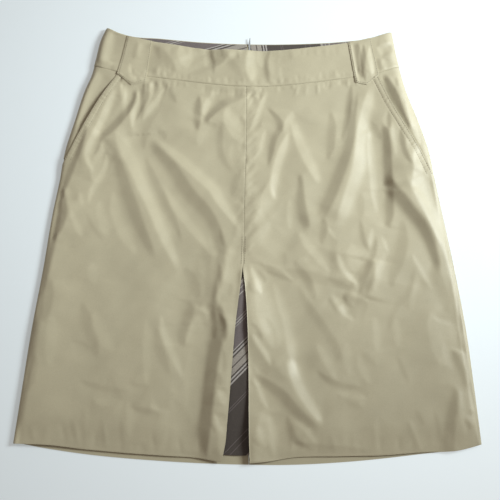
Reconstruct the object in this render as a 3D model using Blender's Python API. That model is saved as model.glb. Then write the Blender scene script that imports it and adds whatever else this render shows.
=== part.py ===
"""A skort laid flat on its back: an A-line skirt, slit at the front, over inner shorts.

Frame: +X runs across to the wearer's left, +Y from hem to waist, +Z up from the surface
that the back lies on. Every size here is in millimetres, and MM turns it into metres.
Each cut piece is a grid of points on the middle of its cloth, given a wall's thickness.
"""
from collections import namedtuple

import bpy
import numpy as np

MM = 0.001

# ---- cloth and layers ---------------------------------------------------------------
PANEL_CLOTH = 1.2       # outer cloth
BAND_CLOTH = 1.8        # waistband, two layers of the outer cloth
INNER_CLOTH = 1.0       # striped inner cloth
TAPE_CLOTH = 0.9        # zip tape
GAP = 0.3               # between pieces sewn edge to edge, and between flat layers

BACK_MID = PANEL_CLOTH / 2
INNER_BACK_MID = PANEL_CLOTH + GAP + INNER_CLOTH / 2
INNER_FRONT_MID = INNER_BACK_MID + INNER_CLOTH + GAP
CONTACT_MID = INNER_FRONT_MID + INNER_CLOTH / 2 + GAP + PANEL_CLOTH / 2

# ---- rolled sides ---------------------------------------------------------------------
CURL_WIDTH = 9.0        # the back curls up over this width
CURL_RISE = 1.2
SIDE_SEAM_MID = BACK_MID + CURL_RISE + PANEL_CLOTH + GAP
ROLL_WIDTH = 12.0       # the front rolls down to the side seam over this width
ROLL_TOP_MID = 8.0
SETTLE = 1.6            # how much lower the middle of the front lies than its rolled sides
SETTLE_FROM = 20.0
SETTLE_TO = 90.0
SOFT_CONTACT = 1.4      # rounding where a trough meets the layer under it

# ---- heights of the bands ---------------------------------------------------------------
BACK_SEAM_RISE = 13.0   # the back's waist seam lies this much higher at the middle
SEAM_HALF = 211.0       # half the width at the waist seam
CENTRE_BACK = 2.0       # x of the centre-back seam
BACK_COLUMNS = dict(count=8, near_end=(0.006, 0.018, 0.04))
INNER_INSET = 14.0      # the shorts stop this far inside the rolled sides
INNER_DROP = 2.5        # the shorts' upper edges lie this far under the waist seams
INNER_HEM_RISE = 9.0    # and their hem lies this far above the front's hem
POCKET_UNDERLAP = 24.0  # the facing runs on under the front by this much
POCKET_LIFT = PANEL_CLOTH + 0.7
POCKET_SINK = 0.9       # the facing lies this much lower where the front covers it
POCKET_FADE = 24.0
POCKET_TACK = 6.0       # the facing ends this far above the opening's lower end
TAB_REST = 0.4          # air under a tab
ZIP_WIDTH = 5.0
ZIP_LOW = 110.0
ZIP_TIP = 281.0
ZIP_TIP_WIDTH = 3.0
ZIP_TIP_RISE = 4.0

# ---- outlines -------------------------------------------------------------------------
Side = namedtuple("Side", "y left right")
SIDES = [
    Side(294, -195, 199), Side(278, -202, 201), Side(246, -209, 206), Side(223, -214, 211),
    Side(202, -222, 216), Side(158, -234, 231), Side(115, -245, 243.5), Side(73, -250.5, 250),
    Side(32, -257, 257), Side(-49, -266.5, 270), Side(-127, -277, 280.5),
    Side(-203, -285, 287), Side(-270, -292, 292),
]
Edge = namedtuple("Edge", "x y")
FRONT_TOP = [
    Edge(-196, 293), Edge(-183, 286), Edge(-165, 279), Edge(-135, 272.5), Edge(-93, 265),
    Edge(-45, 259.5), Edge(0, 258), Edge(45, 258.5), Edge(86, 263), Edge(128, 268),
    Edge(172, 276.5), Edge(200, 286),
]
BACK_TOP = [
    Edge(-196, 294), Edge(-183, 289), Edge(-164, 283), Edge(-122, 279), Edge(-66, 273.5),
    Edge(0, 270.5), Edge(73, 271), Edge(128, 274), Edge(172, 279.5), Edge(200, 287),
]
FRONT_SEAM = [
    Edge(-212, 236), Edge(-188, 229), Edge(-160, 223), Edge(-120, 218), Edge(-65, 211),
    Edge(-20, 206.5), Edge(2, 205.5), Edge(46, 207), Edge(99, 213), Edge(140, 218.5),
    Edge(179, 225), Edge(209, 235),
]
FRONT_HEM = [
    Edge(-292, -268), Edge(-245, -270), Edge(-207, -274.5), Edge(-157, -279),
    Edge(-108, -282.5), Edge(-58, -286), Edge(-31, -290.5), Edge(3, -291.5), Edge(28, -289.5),
    Edge(53, -285.5), Edge(115, -283.5), Edge(164, -282.5), Edge(214, -279),
    Edge(264, -276), Edge(292, -269),
]
BACK_HEM = [
    Edge(-292, -266.5), Edge(-271, -270.5), Edge(-209, -280), Edge(-109, -289),
    Edge(-9, -293.5), Edge(41, -294), Edge(140, -289), Edge(215, -281), Edge(264, -275),
    Edge(292, -268),
]
Slit = namedtuple("Slit", "y left right")
CENTRE_FRONT = [
    Slit(206, -1.4, -1.4), Slit(113, -2, -2), Slit(44, -4, -4), Slit(-23, -5, -5),
    Slit(-47, -6.3, -6), Slit(-65, -8.2, -3.8), Slit(-89, -11.4, -1.7), Slit(-127, -15.7, 0.2),
    Slit(-165, -18.7, 1.1), Slit(-239, -24.6, 1.7), Slit(-270, -27.5, 2.1),
    Slit(-292, -32.3, 3),
]
# The shorts' middle seam, and below the crotch the inner edges of their two legs.
LEGS = [
    Slit(-285, 9, 13.5), Slit(-100, 7, 10.5), Slit(-70, 4, 7), Slit(-47, -1, 1.6),
    Slit(-25, -2, -2), Slit(225, 0, 0),
]
Opening = namedtuple("Opening", "y x")
POCKET_LEFT = [
    Opening(224, -177), Opening(208, -188), Opening(188, -200.5), Opening(165, -213),
    Opening(145, -223), Opening(129, -231), Opening(112, -239), Opening(97, -246.5),
]
POCKET_RIGHT = [
    Opening(221, 178.5), Opening(200, 187.5), Opening(178, 197.5), Opening(156.5, 209),
    Opening(136.5, 220), Opening(115.5, 231.5), Opening(96, 241), Opening(77, 249.5),
]
# A tab's two long edges run from the waist to the corners of its pointed lower end.
Tab = namedtuple("Tab", "side top_outer top_inner low_outer low_inner tip outer_y inner_y tip_y")
TABS = [
    Tab("left", -166, -132, -178.5, -139, -159, 223.5, 213, 207.5),
    Tab("right", 170, 139, 180, 147.5, 163, 221, 211, 207),
]

# ---- the largest folds: each runs from (x0, y0) by (x1, y1) to (x2, y2) -------------------
Fold = namedtuple("Fold", "x0 y0 x1 y1 x2 y2 width height")
FOLDS = [
    # ridges on the left half
    Fold(-138, 136, -81, 84, -14, 10, 11, 4.6),
    Fold(-176, 128, -149, 58, -94, -48, 13, 5.0),
    Fold(-187, 200, -212, 138, -234, 84, 9, 3.0),
    Fold(-148, 184, -166, 157, -188, 124, 9, 3.6),
    Fold(-232, 60, -246, 10, -252, -50, 11, 3.0),
    Fold(-46, -118, -42, -205, -42, -300, 13, 4.6),
    Fold(-94, -150, -84, -118, -58, -88, 14, 2.6),
    # troughs on the left half
    Fold(-160, 150, -136, 100, -120, 50, 12, -3.0),
    Fold(-186, 110, -178, 55, -160, 5, 15, -2.6),
    Fold(-57, -96, -65, -175, -76, -300, 15, -4.2),
    Fold(-198, 114, -188, 134, -176, 152, 8, -2.8),
    # ridges on the right half
    Fold(166, 196, 146, 118, 97, 8, 12, 6.4),
    Fold(203, 96, 238, 24, 264, -62, 12, 7.4),
    Fold(46, 160, 47, 122, 26, 62, 12, 3.8),
    Fold(62, -36, 98, -50, 150, -70, 13, 4.6),
    Fold(-3, -96, 26, -174, 94, -250, 14, 6.6),
    Fold(82, -150, 119, -191, 170, -194, 16, 3.6),
    Fold(172, -2, 160, -55, 138, -90, 10, 3.4),
    Fold(272, -196, 266, -232, 256, -285, 13, 3.4),
    # troughs on the right half
    Fold(170, 148, 178, 84, 182, 8, 12, -4.4),
    Fold(40, -52, 64, -100, 94, -188, 15, -4.4),
    Fold(28, -200, 45, -245, 64, -300, 12, -3.8),
    Fold(61, 70, 64, 38, 74, -4, 11, -3.2),
    Fold(151, 20, 148, -20, 140, -66, 10, -2.8),
    Fold(234, -178, 238, -226, 245, -285, 13, -2.8),
]
FOLD_STEPS = 14         # straight steps that a fold's curve is measured along
SEAM_FADE = 26.0        # folds die out towards the waist seam
SLIT_LIP = 14.0         # the slit's edges lift over this width
SLIT_LIFT = 1.8
SLIT_TOP = -47.0


def smooth(low, high, value):
    """0 below low, 1 above high, with a soft step between."""
    t = np.clip((value - low) / (high - low), 0.0, 1.0)
    return t * t * (3.0 - 2.0 * t)


def through(places, values, at):
    """A smooth curve through the points, carried on straight past its ends."""
    places = np.array(places, float)
    values = np.array(values, float)
    order = np.argsort(places)
    places = places[order]
    values = values[order]
    slopes = np.gradient(values, places)
    at = np.asarray(at, float)
    span = np.clip(np.searchsorted(places, at) - 1, 0, len(places) - 2)
    step = places[span + 1] - places[span]
    raw = (at - places[span]) / step
    t = np.clip(raw, 0.0, 1.0)
    start = values[span] * (1 + 2 * t) * (1 - t) ** 2
    end = values[span + 1] * t * t * (3 - 2 * t)
    leave = slopes[span] * step * t * (1 - t) ** 2
    arrive = slopes[span + 1] * step * t * t * (t - 1)
    beyond = np.where(raw < 0, raw * slopes[span], np.where(raw > 1, (raw - 1) * slopes[span + 1], 0))
    return start + end + leave + arrive + beyond * step


def column(table, name):
    return [getattr(row, name) for row in table]


def side(name, y):
    """x of the laid-flat outline, left or right."""
    return through(column(SIDES, "y"), column(SIDES, name), y)


def edge(table, x):
    """y of an edge that runs across the garment."""
    return through(column(table, "x"), column(table, "y"), x)


def centre(table, name, y):
    """x of the centre-front seam, and below it of one edge of the slit."""
    return through(column(table, "y"), column(table, name), y)


def pocket(name, y):
    table = POCKET_LEFT if name == "left" else POCKET_RIGHT
    return through(column(table, "y"), column(table, "x"), y)


def back_seam(x):
    """y of the back's waist seam, which meets the front's at the sides."""
    return edge(FRONT_SEAM, x) + BACK_SEAM_RISE * (1.0 - (x / SEAM_HALF) ** 2)


# ---- the front's height -----------------------------------------------------------------
def side_distance(x, y):
    return np.minimum(x - side("left", y), side("right", y) - x)


def rolled(x, y):
    """Middle of the front's cloth with no folds: rolled at the sides, settled between."""
    inside = side_distance(x, y)
    turn = 1.0 - np.clip(inside / ROLL_WIDTH, 0.0, 1.0)
    rise = (ROLL_TOP_MID - SIDE_SEAM_MID) * np.sqrt(1.0 - turn * turn)
    return SIDE_SEAM_MID + rise - SETTLE * smooth(SETTLE_FROM, SETTLE_TO, inside)


def fold_height(fold, x, y):
    """A soft ridge or trough: highest midway, dying out at both ends and sides."""
    t = np.linspace(0.0, 1.0, FOLD_STEPS + 1)
    # the curve passes through its middle point at t = 0.5
    middle_x = 2 * fold.x1 - (fold.x0 + fold.x2) / 2
    middle_y = 2 * fold.y1 - (fold.y0 + fold.y2) / 2
    path_x = (1 - t) ** 2 * fold.x0 + 2 * t * (1 - t) * middle_x + t * t * fold.x2
    path_y = (1 - t) ** 2 * fold.y0 + 2 * t * (1 - t) * middle_y + t * t * fold.y2
    nearest = np.full(np.shape(x), np.inf)
    along = np.zeros(np.shape(x))
    for step in range(FOLD_STEPS):
        run_x = path_x[step + 1] - path_x[step]
        run_y = path_y[step + 1] - path_y[step]
        share = ((x - path_x[step]) * run_x + (y - path_y[step]) * run_y) / (run_x ** 2 + run_y ** 2)
        share = np.clip(share, 0.0, 1.0)
        gone = (x - path_x[step] - share * run_x) ** 2 + (y - path_y[step] - share * run_y) ** 2
        closer = gone < nearest
        nearest = np.where(closer, gone, nearest)
        along = np.where(closer, (step + share) / FOLD_STEPS, along)
    across = np.exp(-nearest / fold.width ** 2)
    return fold.height * across * np.sin(np.pi * np.clip(along, 0, 1)) ** 0.7


def relief(x, y):
    """All folds together, and the lift of the slit's two edges."""
    total = np.zeros(np.shape(x))
    for fold in FOLDS:
        total = total + fold_height(fold, x, y)
    from_left_edge = np.abs(centre(CENTRE_FRONT, "left", y) - x)
    from_right_edge = np.abs(x - centre(CENTRE_FRONT, "right", y))
    near = np.minimum(from_left_edge, from_right_edge)
    below = smooth(0.0, 60.0, SLIT_TOP - y)
    total = total + SLIT_LIFT * below * (1.0 - smooth(0.0, SLIT_LIP, near))
    return total * smooth(0.0, SEAM_FADE, edge(FRONT_SEAM, x) - y)


def over_pocket(x, y):
    """1 where the front lies over a pocket facing, fading to 0 around it."""
    left_in = x - pocket("left", y)
    right_in = pocket("right", y) - x
    left = 1.0 - smooth(POCKET_UNDERLAP + 4, POCKET_UNDERLAP + 4 + POCKET_FADE, left_in)
    left = left * smooth(POCKET_LEFT[-1].y - POCKET_FADE, POCKET_LEFT[-1].y, y)
    right = 1.0 - smooth(POCKET_UNDERLAP + 4, POCKET_UNDERLAP + 4 + POCKET_FADE, right_in)
    right = right * smooth(POCKET_RIGHT[-1].y - POCKET_FADE, POCKET_RIGHT[-1].y, y)
    return np.where(x < 0, left, right)


def front_mid(x, y):
    """Middle of the front panels: folds stand on the rolled form and bottom on the shorts."""
    base = rolled(x, y)
    spare = base - CONTACT_MID
    folded = relief(x, y) + spare
    rested = (folded + np.sqrt(folded ** 2 + SOFT_CONTACT ** 2)) / 2
    fade = smooth(0.0, ROLL_WIDTH + 2, side_distance(x, y))
    return base + fade * (rested - spare) + POCKET_LIFT * over_pocket(x, y)


def back_mid(x, y):
    """Middle of the back: flat on the surface, curled up at the side seams."""
    turn = 1.0 - np.clip(side_distance(x, y) / CURL_WIDTH, 0.0, 1.0)
    return BACK_MID + CURL_RISE * turn ** 2


# ---- grids ------------------------------------------------------------------------------
def shares(count, near_start=(), near_end=()):
    """Shares from 0 to 1: even ones, with closer ones towards either end."""
    first = max(near_start, default=0.0)
    last = 1.0 - max(near_end, default=0.0)
    even = np.linspace(first, last, count)
    extra = list(near_start) + [1.0 - share for share in near_end]
    return np.unique(np.round(np.concatenate([[0.0, 1.0], extra, even]), 6))


def panel_grid(rows, columns, low, high, inner, outer):
    """Places between a lower and an upper edge, y(x), and an inner and outer edge, x(y)."""
    v, u = np.meshgrid(rows, columns, indexing="ij")
    x = np.zeros(v.shape)
    y = np.zeros(v.shape)
    for _ in range(12):
        y = low(x) * (1 - v) + high(x) * v
        x = inner(y) * (1 - u) + outer(y) * u
    return x, y


def sheet(name, x, y, z, thickness, material):
    """One closed wall of cloth around a grid of points on its middle surface."""
    middle = np.stack([x, y, z], axis=-1)
    normal = np.cross(np.gradient(middle, axis=1), np.gradient(middle, axis=0))
    normal = normal / np.linalg.norm(normal, axis=-1, keepdims=True)
    normal = normal * np.sign(normal[..., 2:3])
    clockwise = np.mean(np.gradient(x, axis=1)) * np.mean(np.gradient(y, axis=0)) < 0
    rows, columns = x.shape
    layer = rows * columns
    points = np.concatenate([
        (middle + normal * thickness / 2).reshape(-1, 3),
        (middle - normal * thickness / 2).reshape(-1, 3),
    ]) * MM

    def corner(row, col, lower):
        return row * columns + col + lower * layer

    faces = []
    for row in range(rows - 1):
        for col in range(columns - 1):
            ring = [(row, col), (row, col + 1), (row + 1, col + 1), (row + 1, col)]
            faces.append([corner(r, c, 0) for r, c in ring])
            faces.append([corner(r, c, 1) for r, c in reversed(ring)])
    border = [(0, col) for col in range(columns)]
    border += [(row, columns - 1) for row in range(1, rows)]
    border += [(rows - 1, col) for col in range(columns - 2, -1, -1)]
    border += [(row, 0) for row in range(rows - 2, 0, -1)]
    for here, following in zip(border, border[1:] + border[:1]):
        faces.append([corner(*here, 0), corner(*here, 1), corner(*following, 1), corner(*following, 0)])
    if clockwise:
        faces = [face[::-1] for face in faces]
    mesh = bpy.data.meshes.new(name)
    mesh.from_pydata(points.tolist(), [], faces)
    mesh.update()
    mesh.shade_smooth()
    mesh.set_sharp_from_angle(angle=np.radians(50))
    mesh.materials.append(material)
    piece = bpy.data.objects.new(name, mesh)
    bpy.context.collection.objects.link(piece)
    return piece


def cloth_material(name, colour, roughness):
    material = bpy.data.materials.new(name)
    material.use_nodes = True
    shader = material.node_tree.nodes["Principled BSDF"]
    shader.inputs["Base Color"].default_value = (*colour, 1.0)
    shader.inputs["Roughness"].default_value = roughness
    shader.inputs["Metallic"].default_value = 0.0
    return material


# ---- pieces -----------------------------------------------------------------------------
def outward(name):
    return -1.0 if name == "left" else 1.0


def front_panel(name, khaki):
    sign = outward(name)
    inner_of_both = np.maximum if name == "left" else np.minimum

    def outer(y):
        return inner_of_both(side(name, y), pocket(name, y))

    x, y = panel_grid(
        shares(34, near_start=(0.012, 0.028)),
        shares(17, near_start=(0.025, 0.055), near_end=(0.005, 0.015, 0.03, 0.055)),
        lambda x: edge(FRONT_HEM, x),
        lambda x: edge(FRONT_SEAM, x) - GAP / 2,
        lambda y: centre(CENTRE_FRONT, name, y) + sign * GAP / 2,
        outer,
    )
    sheet("front_" + name, x, y, front_mid(x, y), PANEL_CLOTH, khaki)


def back_panel(name, khaki):
    sign = outward(name)
    x, y = panel_grid(
        shares(12),
        shares(**BACK_COLUMNS),
        lambda x: edge(BACK_HEM, x),
        lambda x: back_seam(x) - GAP / 2,
        lambda y: CENTRE_BACK + sign * GAP / 2 + 0 * y,
        lambda y: side(name, y),
    )
    sheet("back_" + name, x, y, back_mid(x, y), PANEL_CLOTH, khaki)


def waist_front(khaki):
    x, y = panel_grid(
        shares(5),
        shares(27, near_start=(0.004, 0.012, 0.028), near_end=(0.004, 0.012, 0.028)),
        lambda x: edge(FRONT_SEAM, x) + GAP / 2,
        lambda x: edge(FRONT_TOP, x),
        lambda y: side("left", y),
        lambda y: side("right", y),
    )
    z = rolled(x, y) + (BAND_CLOTH - PANEL_CLOTH) / 2
    sheet("waist_front", x, y, z, BAND_CLOTH, khaki)


def waist_back(name, khaki):
    sign = outward(name)
    x, y = panel_grid(
        shares(4),
        shares(**BACK_COLUMNS),
        lambda x: back_seam(x) + GAP / 2,
        lambda x: edge(BACK_TOP, x),
        lambda y: CENTRE_BACK + sign * GAP / 2 + 0 * y,
        lambda y: side(name, y),
    )
    sheet("waist_back_" + name, x, y, back_mid(x, y), PANEL_CLOTH, khaki)


def facing_back(name, striped):
    """The striped inside of the back waistband, seen above the front's edge."""
    sign = outward(name)
    x, y = panel_grid(
        shares(4),
        shares(9),
        lambda x: back_seam(x) + GAP / 2,
        lambda x: edge(BACK_TOP, x) - 1.2,
        lambda y: CENTRE_BACK + sign * (ZIP_WIDTH / 2 + GAP) + 0 * y,
        lambda y: side(name, y) - sign * CURL_WIDTH,
    )
    sheet("facing_back_" + name, x, y, INNER_BACK_MID + 0 * x, INNER_CLOTH, striped)


def pocket_facing(name, khaki):
    """The hip piece inside the slanted pocket, which also carries the side seam there."""
    sign = outward(name)
    table = POCKET_LEFT if name == "left" else POCKET_RIGHT
    low_end = table[-1].y
    x, y = panel_grid(
        shares(11),
        shares(4, near_end=(0.03, 0.08, 0.18)),
        lambda x: low_end + POCKET_TACK + 0 * x,
        lambda x: edge(FRONT_SEAM, x) - GAP / 2,
        lambda y: pocket(name, y) - sign * POCKET_UNDERLAP,
        lambda y: side(name, y),
    )
    covered = smooth(-3.0, 5.0, sign * (pocket(name, y) - x))
    z = rolled(x, y) - POCKET_SINK * covered
    sheet("pocket_facing_" + name, x, y, z, PANEL_CLOTH, khaki)


def shorts_leaf(name, layer, height, striped):
    """Half of the shorts' front or back: waist to crotch along the middle, then a leg."""
    sign = outward(name)
    opening = ZIP_WIDTH / 2 + GAP if layer == "back" else GAP / 2

    def inner(y):
        zip_half = GAP / 2 + (opening - GAP / 2) * smooth(ZIP_LOW - 30, ZIP_LOW - 10, y)
        middle = np.interp(y, column(LEGS, "y"), column(LEGS, name))
        to_zip = smooth(0.0, 60.0, y) if layer == "back" else 0.0
        return middle + (CENTRE_BACK - middle) * to_zip + sign * zip_half

    x, y = panel_grid(
        shares(15),
        shares(6),
        lambda x: edge(FRONT_HEM, x) + INNER_HEM_RISE,
        lambda x: (edge(FRONT_SEAM, x) if layer == "front" else back_seam(x)) - INNER_DROP,
        inner,
        lambda y: side(name, y) - sign * INNER_INSET,
    )
    sheet("shorts_%s_%s" % (layer, name), x, y, height + 0 * x, INNER_CLOTH, striped)


def waist_tab(tab, khaki):
    """A wide tab that lies over the waistband, with a pointed lower end."""
    top_left, top_right = sorted([tab.top_outer, tab.top_inner])
    low_left, low_right = sorted([tab.low_outer, tab.low_inner])
    ends = sorted([(tab.low_outer, tab.outer_y), (tab.tip, tab.tip_y), (tab.low_inner, tab.inner_y)])
    v, u = np.meshgrid(shares(6), shares(5), indexing="ij")
    low_x = low_left + (low_right - low_left) * u
    low_y = np.interp(low_x, [end[0] for end in ends], [end[1] for end in ends])
    top_x = top_left + (top_right - top_left) * u
    top_y = edge(FRONT_TOP, top_x)
    x = low_x * (1 - v) + top_x * v
    y = low_y * (1 - v) + top_y * v
    over_band = rolled(x, y) + BAND_CLOTH - PANEL_CLOTH / 2
    over_panel = front_mid(x, y) + PANEL_CLOTH / 2
    seam = edge(FRONT_SEAM, x)
    z = over_panel + (np.maximum(over_band, over_panel) - over_panel) * smooth(-14, -2, y - seam)
    sheet("tab_" + tab.side, x, y, z + TAB_REST + PANEL_CLOTH / 2, PANEL_CLOTH, khaki)


def zip_tape(tape):
    """The closed zip's tape along the centre back, its upper end turned up past the edge."""
    rows = shares(14)
    v, u = np.meshgrid(rows, shares(3), indexing="ij")
    y = ZIP_LOW + (ZIP_TIP - ZIP_LOW) * v
    width = ZIP_WIDTH + (ZIP_TIP_WIDTH - ZIP_WIDTH) * smooth(262, 272, y)
    x = CENTRE_BACK + (u - 0.5) * width
    z = INNER_BACK_MID + ZIP_TIP_RISE * smooth(262, ZIP_TIP + 4, y)
    sheet("zip_tape", x, y, z, TAPE_CLOTH, tape)


def build():
    for leftover in list(bpy.data.objects):
        bpy.data.objects.remove(leftover, do_unlink=True)
    khaki = cloth_material("khaki_cotton", (0.48, 0.45, 0.34), 0.62)
    striped = cloth_material("striped_inner_cloth", (0.16, 0.13, 0.12), 0.7)
    tape = cloth_material("zip_tape_cloth", (0.45, 0.46, 0.43), 0.75)
    for name in ("left", "right"):
        back_panel(name, khaki)
        waist_back(name, khaki)
        facing_back(name, striped)
        shorts_leaf(name, "back", INNER_BACK_MID, striped)
        shorts_leaf(name, "front", INNER_FRONT_MID, striped)
        pocket_facing(name, khaki)
        front_panel(name, khaki)
    waist_front(khaki)
    for tab in TABS:
        waist_tab(tab, khaki)
    zip_tape(tape)


build()
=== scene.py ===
"""The looks of a khaki skort that lies flat on its back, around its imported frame.

Every length in the tables is in millimetres, in the frame's own axes, and MM turns it into
metres. Each piece of cloth is a fine thin shell on the middle surface of its CAD solid.
"""

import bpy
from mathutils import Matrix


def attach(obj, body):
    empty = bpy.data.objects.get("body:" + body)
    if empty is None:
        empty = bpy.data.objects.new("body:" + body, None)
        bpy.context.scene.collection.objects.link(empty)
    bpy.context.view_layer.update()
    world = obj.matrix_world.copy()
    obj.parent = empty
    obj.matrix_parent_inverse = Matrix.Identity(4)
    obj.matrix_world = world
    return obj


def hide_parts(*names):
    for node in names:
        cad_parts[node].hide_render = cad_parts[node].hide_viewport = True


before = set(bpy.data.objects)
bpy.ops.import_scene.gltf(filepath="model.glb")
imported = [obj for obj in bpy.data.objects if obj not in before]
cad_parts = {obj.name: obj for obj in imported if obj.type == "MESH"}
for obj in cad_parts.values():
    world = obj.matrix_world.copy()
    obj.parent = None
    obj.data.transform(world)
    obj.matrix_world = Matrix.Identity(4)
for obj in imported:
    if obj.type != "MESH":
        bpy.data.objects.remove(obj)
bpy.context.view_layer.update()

from collections import namedtuple
from math import pi, radians

import bpy
import numpy as np

# ---- shapes ---------------------------------------------------------------------------
MM = 0.001

# Visible cloth, and the middles of the layers that lie on each other.
PANEL_CLOTH = 0.8
BAND_CLOTH = 1.5
INNER_CLOTH = 0.6
TAPE_CLOTH = 0.6
GAP = 0.3
BACK_MID = 0.5
INNER_BACK_MID = BACK_MID + PANEL_CLOTH / 2 + GAP / 2 + INNER_CLOTH / 2
INNER_FRONT_MID = INNER_BACK_MID + INNER_CLOTH + GAP / 2
CONTACT_MID = INNER_FRONT_MID + INNER_CLOTH / 2 + GAP / 2 + PANEL_CLOTH / 2

# The back curls up at its side edges, and the front rolls over down to it there.
CURL_WIDTH = 9.0
CURL_RISE = 1.2
SIDE_SEAM_MID = BACK_MID + CURL_RISE + PANEL_CLOTH + GAP
ROLL_WIDTH = 12.0
POCKET_ROLL_WIDTH = 7.5                     # beside the left pocket
POCKET_ROLL_Y = (110.0, 150.0, 215.0, 245.0)
ROLL_TOP_MID = 8.0
SETTLE = 1.6            # the front comes down again by this much
SETTLE_FROM = 20.0      # between these distances from the side
SETTLE_TO = 90.0
SOFT_CONTACT = 1.4      # folds come to rest on the shorts over about this height

BACK_SEAM_RISE = 13.0   # the back's waist seam lies this much higher at the middle
SEAM_HALF = 211.0
CENTRE_BACK = 2.0
INNER_INSET = 14.0
INNER_DROP = 2.5
INNER_HEM_RISE = 9.0
HEM_DROP = 3.2          # the front's hem comes down towards the back's
HEM_REACH = 38.0
HEM_CONTACT_DROP = 0.9
BULGE = 6.0             # the striped cloth fills the slit's upper part
BULGE_WIDTH = 14.0
BULGE_Y = (-285.0, -170.0, -57.0, -27.0)
FACING_DROP = 1.2       # the striped facing's edge lies this far below the back's
POCKET_TOP = 225.0
POCKET_UNDERLAP = 24.0
POCKET_LIFT = 1.0
POCKET_SEAM_LIFT = 0.4
POCKET_SEAM_REACH = 30.0
POCKET_SINK = 0.9
POCKET_FADE = 24.0
POCKET_TACK = 6.0
TAB_REST = 0.32
TAB_CLOTH = 0.5
TAB_LOFT = 0.3
TAB_STITCH_INSET = 1.4
ZIP_WIDTH = 5.0
ZIP_LOW = 110.0
ZIP_TURN = 262.0        # above this the tape turns up
ZIP_TIP_RISE = 2.2

Side = namedtuple("Side", "y left right")
SIDES = [
    Side(294, -195, 199), Side(278, -202, 201), Side(246, -209, 206), Side(223, -214, 211),
    Side(202, -222, 216), Side(158, -234, 231), Side(115, -245, 243.5), Side(73, -250.5, 250),
    Side(32, -257, 257), Side(-49, -266.5, 270), Side(-127, -277, 280.5),
    Side(-203, -285, 287), Side(-270, -292, 292),
]
Edge = namedtuple("Edge", "x y")
FRONT_TOP = [
    Edge(-196, 293), Edge(-183, 286), Edge(-165, 279), Edge(-135, 272.5), Edge(-93, 265),
    Edge(-45, 259.5), Edge(0, 258), Edge(45, 258.5), Edge(86, 263), Edge(128, 268),
    Edge(172, 276.5), Edge(200, 286),
]
BACK_TOP = [
    Edge(-196, 294), Edge(-183, 289), Edge(-164, 283), Edge(-122, 279), Edge(-66, 273.5),
    Edge(0, 270.5), Edge(73, 271), Edge(128, 274), Edge(172, 279.5), Edge(200, 287),
]
FRONT_SEAM = [
    Edge(-212, 236), Edge(-188, 229), Edge(-160, 223), Edge(-120, 218), Edge(-65, 211),
    Edge(-20, 206.5), Edge(2, 205.5), Edge(46, 207), Edge(99, 213), Edge(140, 218.5),
    Edge(179, 225), Edge(209, 235),
]
FRONT_HEM = [
    Edge(-292, -268), Edge(-245, -270), Edge(-207, -274.5), Edge(-157, -279),
    Edge(-108, -282.5), Edge(-58, -286), Edge(-31, -290.5), Edge(3, -291.5), Edge(28, -289.5),
    Edge(53, -285.5), Edge(115, -283.5), Edge(164, -282.5), Edge(214, -279),
    Edge(264, -276), Edge(292, -269),
]
BACK_HEM = [
    Edge(-292, -266.5), Edge(-271, -270.5), Edge(-209, -280), Edge(-109, -289),
    Edge(-9, -293.5), Edge(41, -294), Edge(140, -289), Edge(215, -281), Edge(264, -275),
    Edge(292, -268),
]
Slit = namedtuple("Slit", "y left right")
CENTRE_FRONT = [
    Slit(206, -1.4, -1.4), Slit(113, -2, -2), Slit(44, -4, -4), Slit(-23, -5, -5),
    Slit(-47, -6.3, -6), Slit(-65, -8.2, -3.8), Slit(-89, -11.4, -1.7), Slit(-127, -15.7, 0.2),
    Slit(-165, -18.7, 1.1), Slit(-239, -24.6, 1.7), Slit(-270, -27.5, 2.1),
    Slit(-292, -32.3, 3),
]
LEGS = [
    Slit(-285, 9, 13.5), Slit(-100, 7, 10.5), Slit(-70, 4, 7), Slit(-47, -1, 1.6),
    Slit(-25, -2, -2), Slit(225, 0, 0),
]
Opening = namedtuple("Opening", "y x")
Mouth = namedtuple("Mouth", "gape sink pucker")
MOUTHS = {"left": Mouth(0.6, 0.6, 0.45), "right": Mouth(0.4, 0.1, 0.6)}
MOUTH_REACH = 40.0
WELT = 8.5              # width of a pocket's topstitched edge
WELT_RISE = 0.4
WELT_GROOVE = 0.35      # along its line of stitches
WELT_PITCH = 5.2        # between its puckers
POCKET_LEFT = [
    Opening(224, -177), Opening(208, -188), Opening(188, -200.5), Opening(165, -213),
    Opening(145, -223), Opening(129, -231), Opening(112, -239), Opening(97, -246.5),
]
POCKET_RIGHT = [
    Opening(221, 178.5), Opening(200, 187.5), Opening(178, 197.5), Opening(156.5, 209),
    Opening(136.5, 220), Opening(115.5, 231.5), Opening(96, 241), Opening(77, 249.5),
]
POCKETS = {"left": POCKET_LEFT, "right": POCKET_RIGHT}
Width = namedtuple("Width", "y width")
ZIP_WIDTHS = [Width(250, ZIP_WIDTH), Width(262, 2.2), Width(270, 2.8), Width(279, 0.8)]
Tab = namedtuple("Tab", "side top_outer top_inner low_outer low_inner tip outer_y inner_y tip_y")
TABS = [
    Tab("left", -166, -132, -178.5, -139, -159, 223.5, 213, 207.5),
    Tab("right", 170, 139, 180, 147.5, 163, 221, 211, 207),
]

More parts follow.
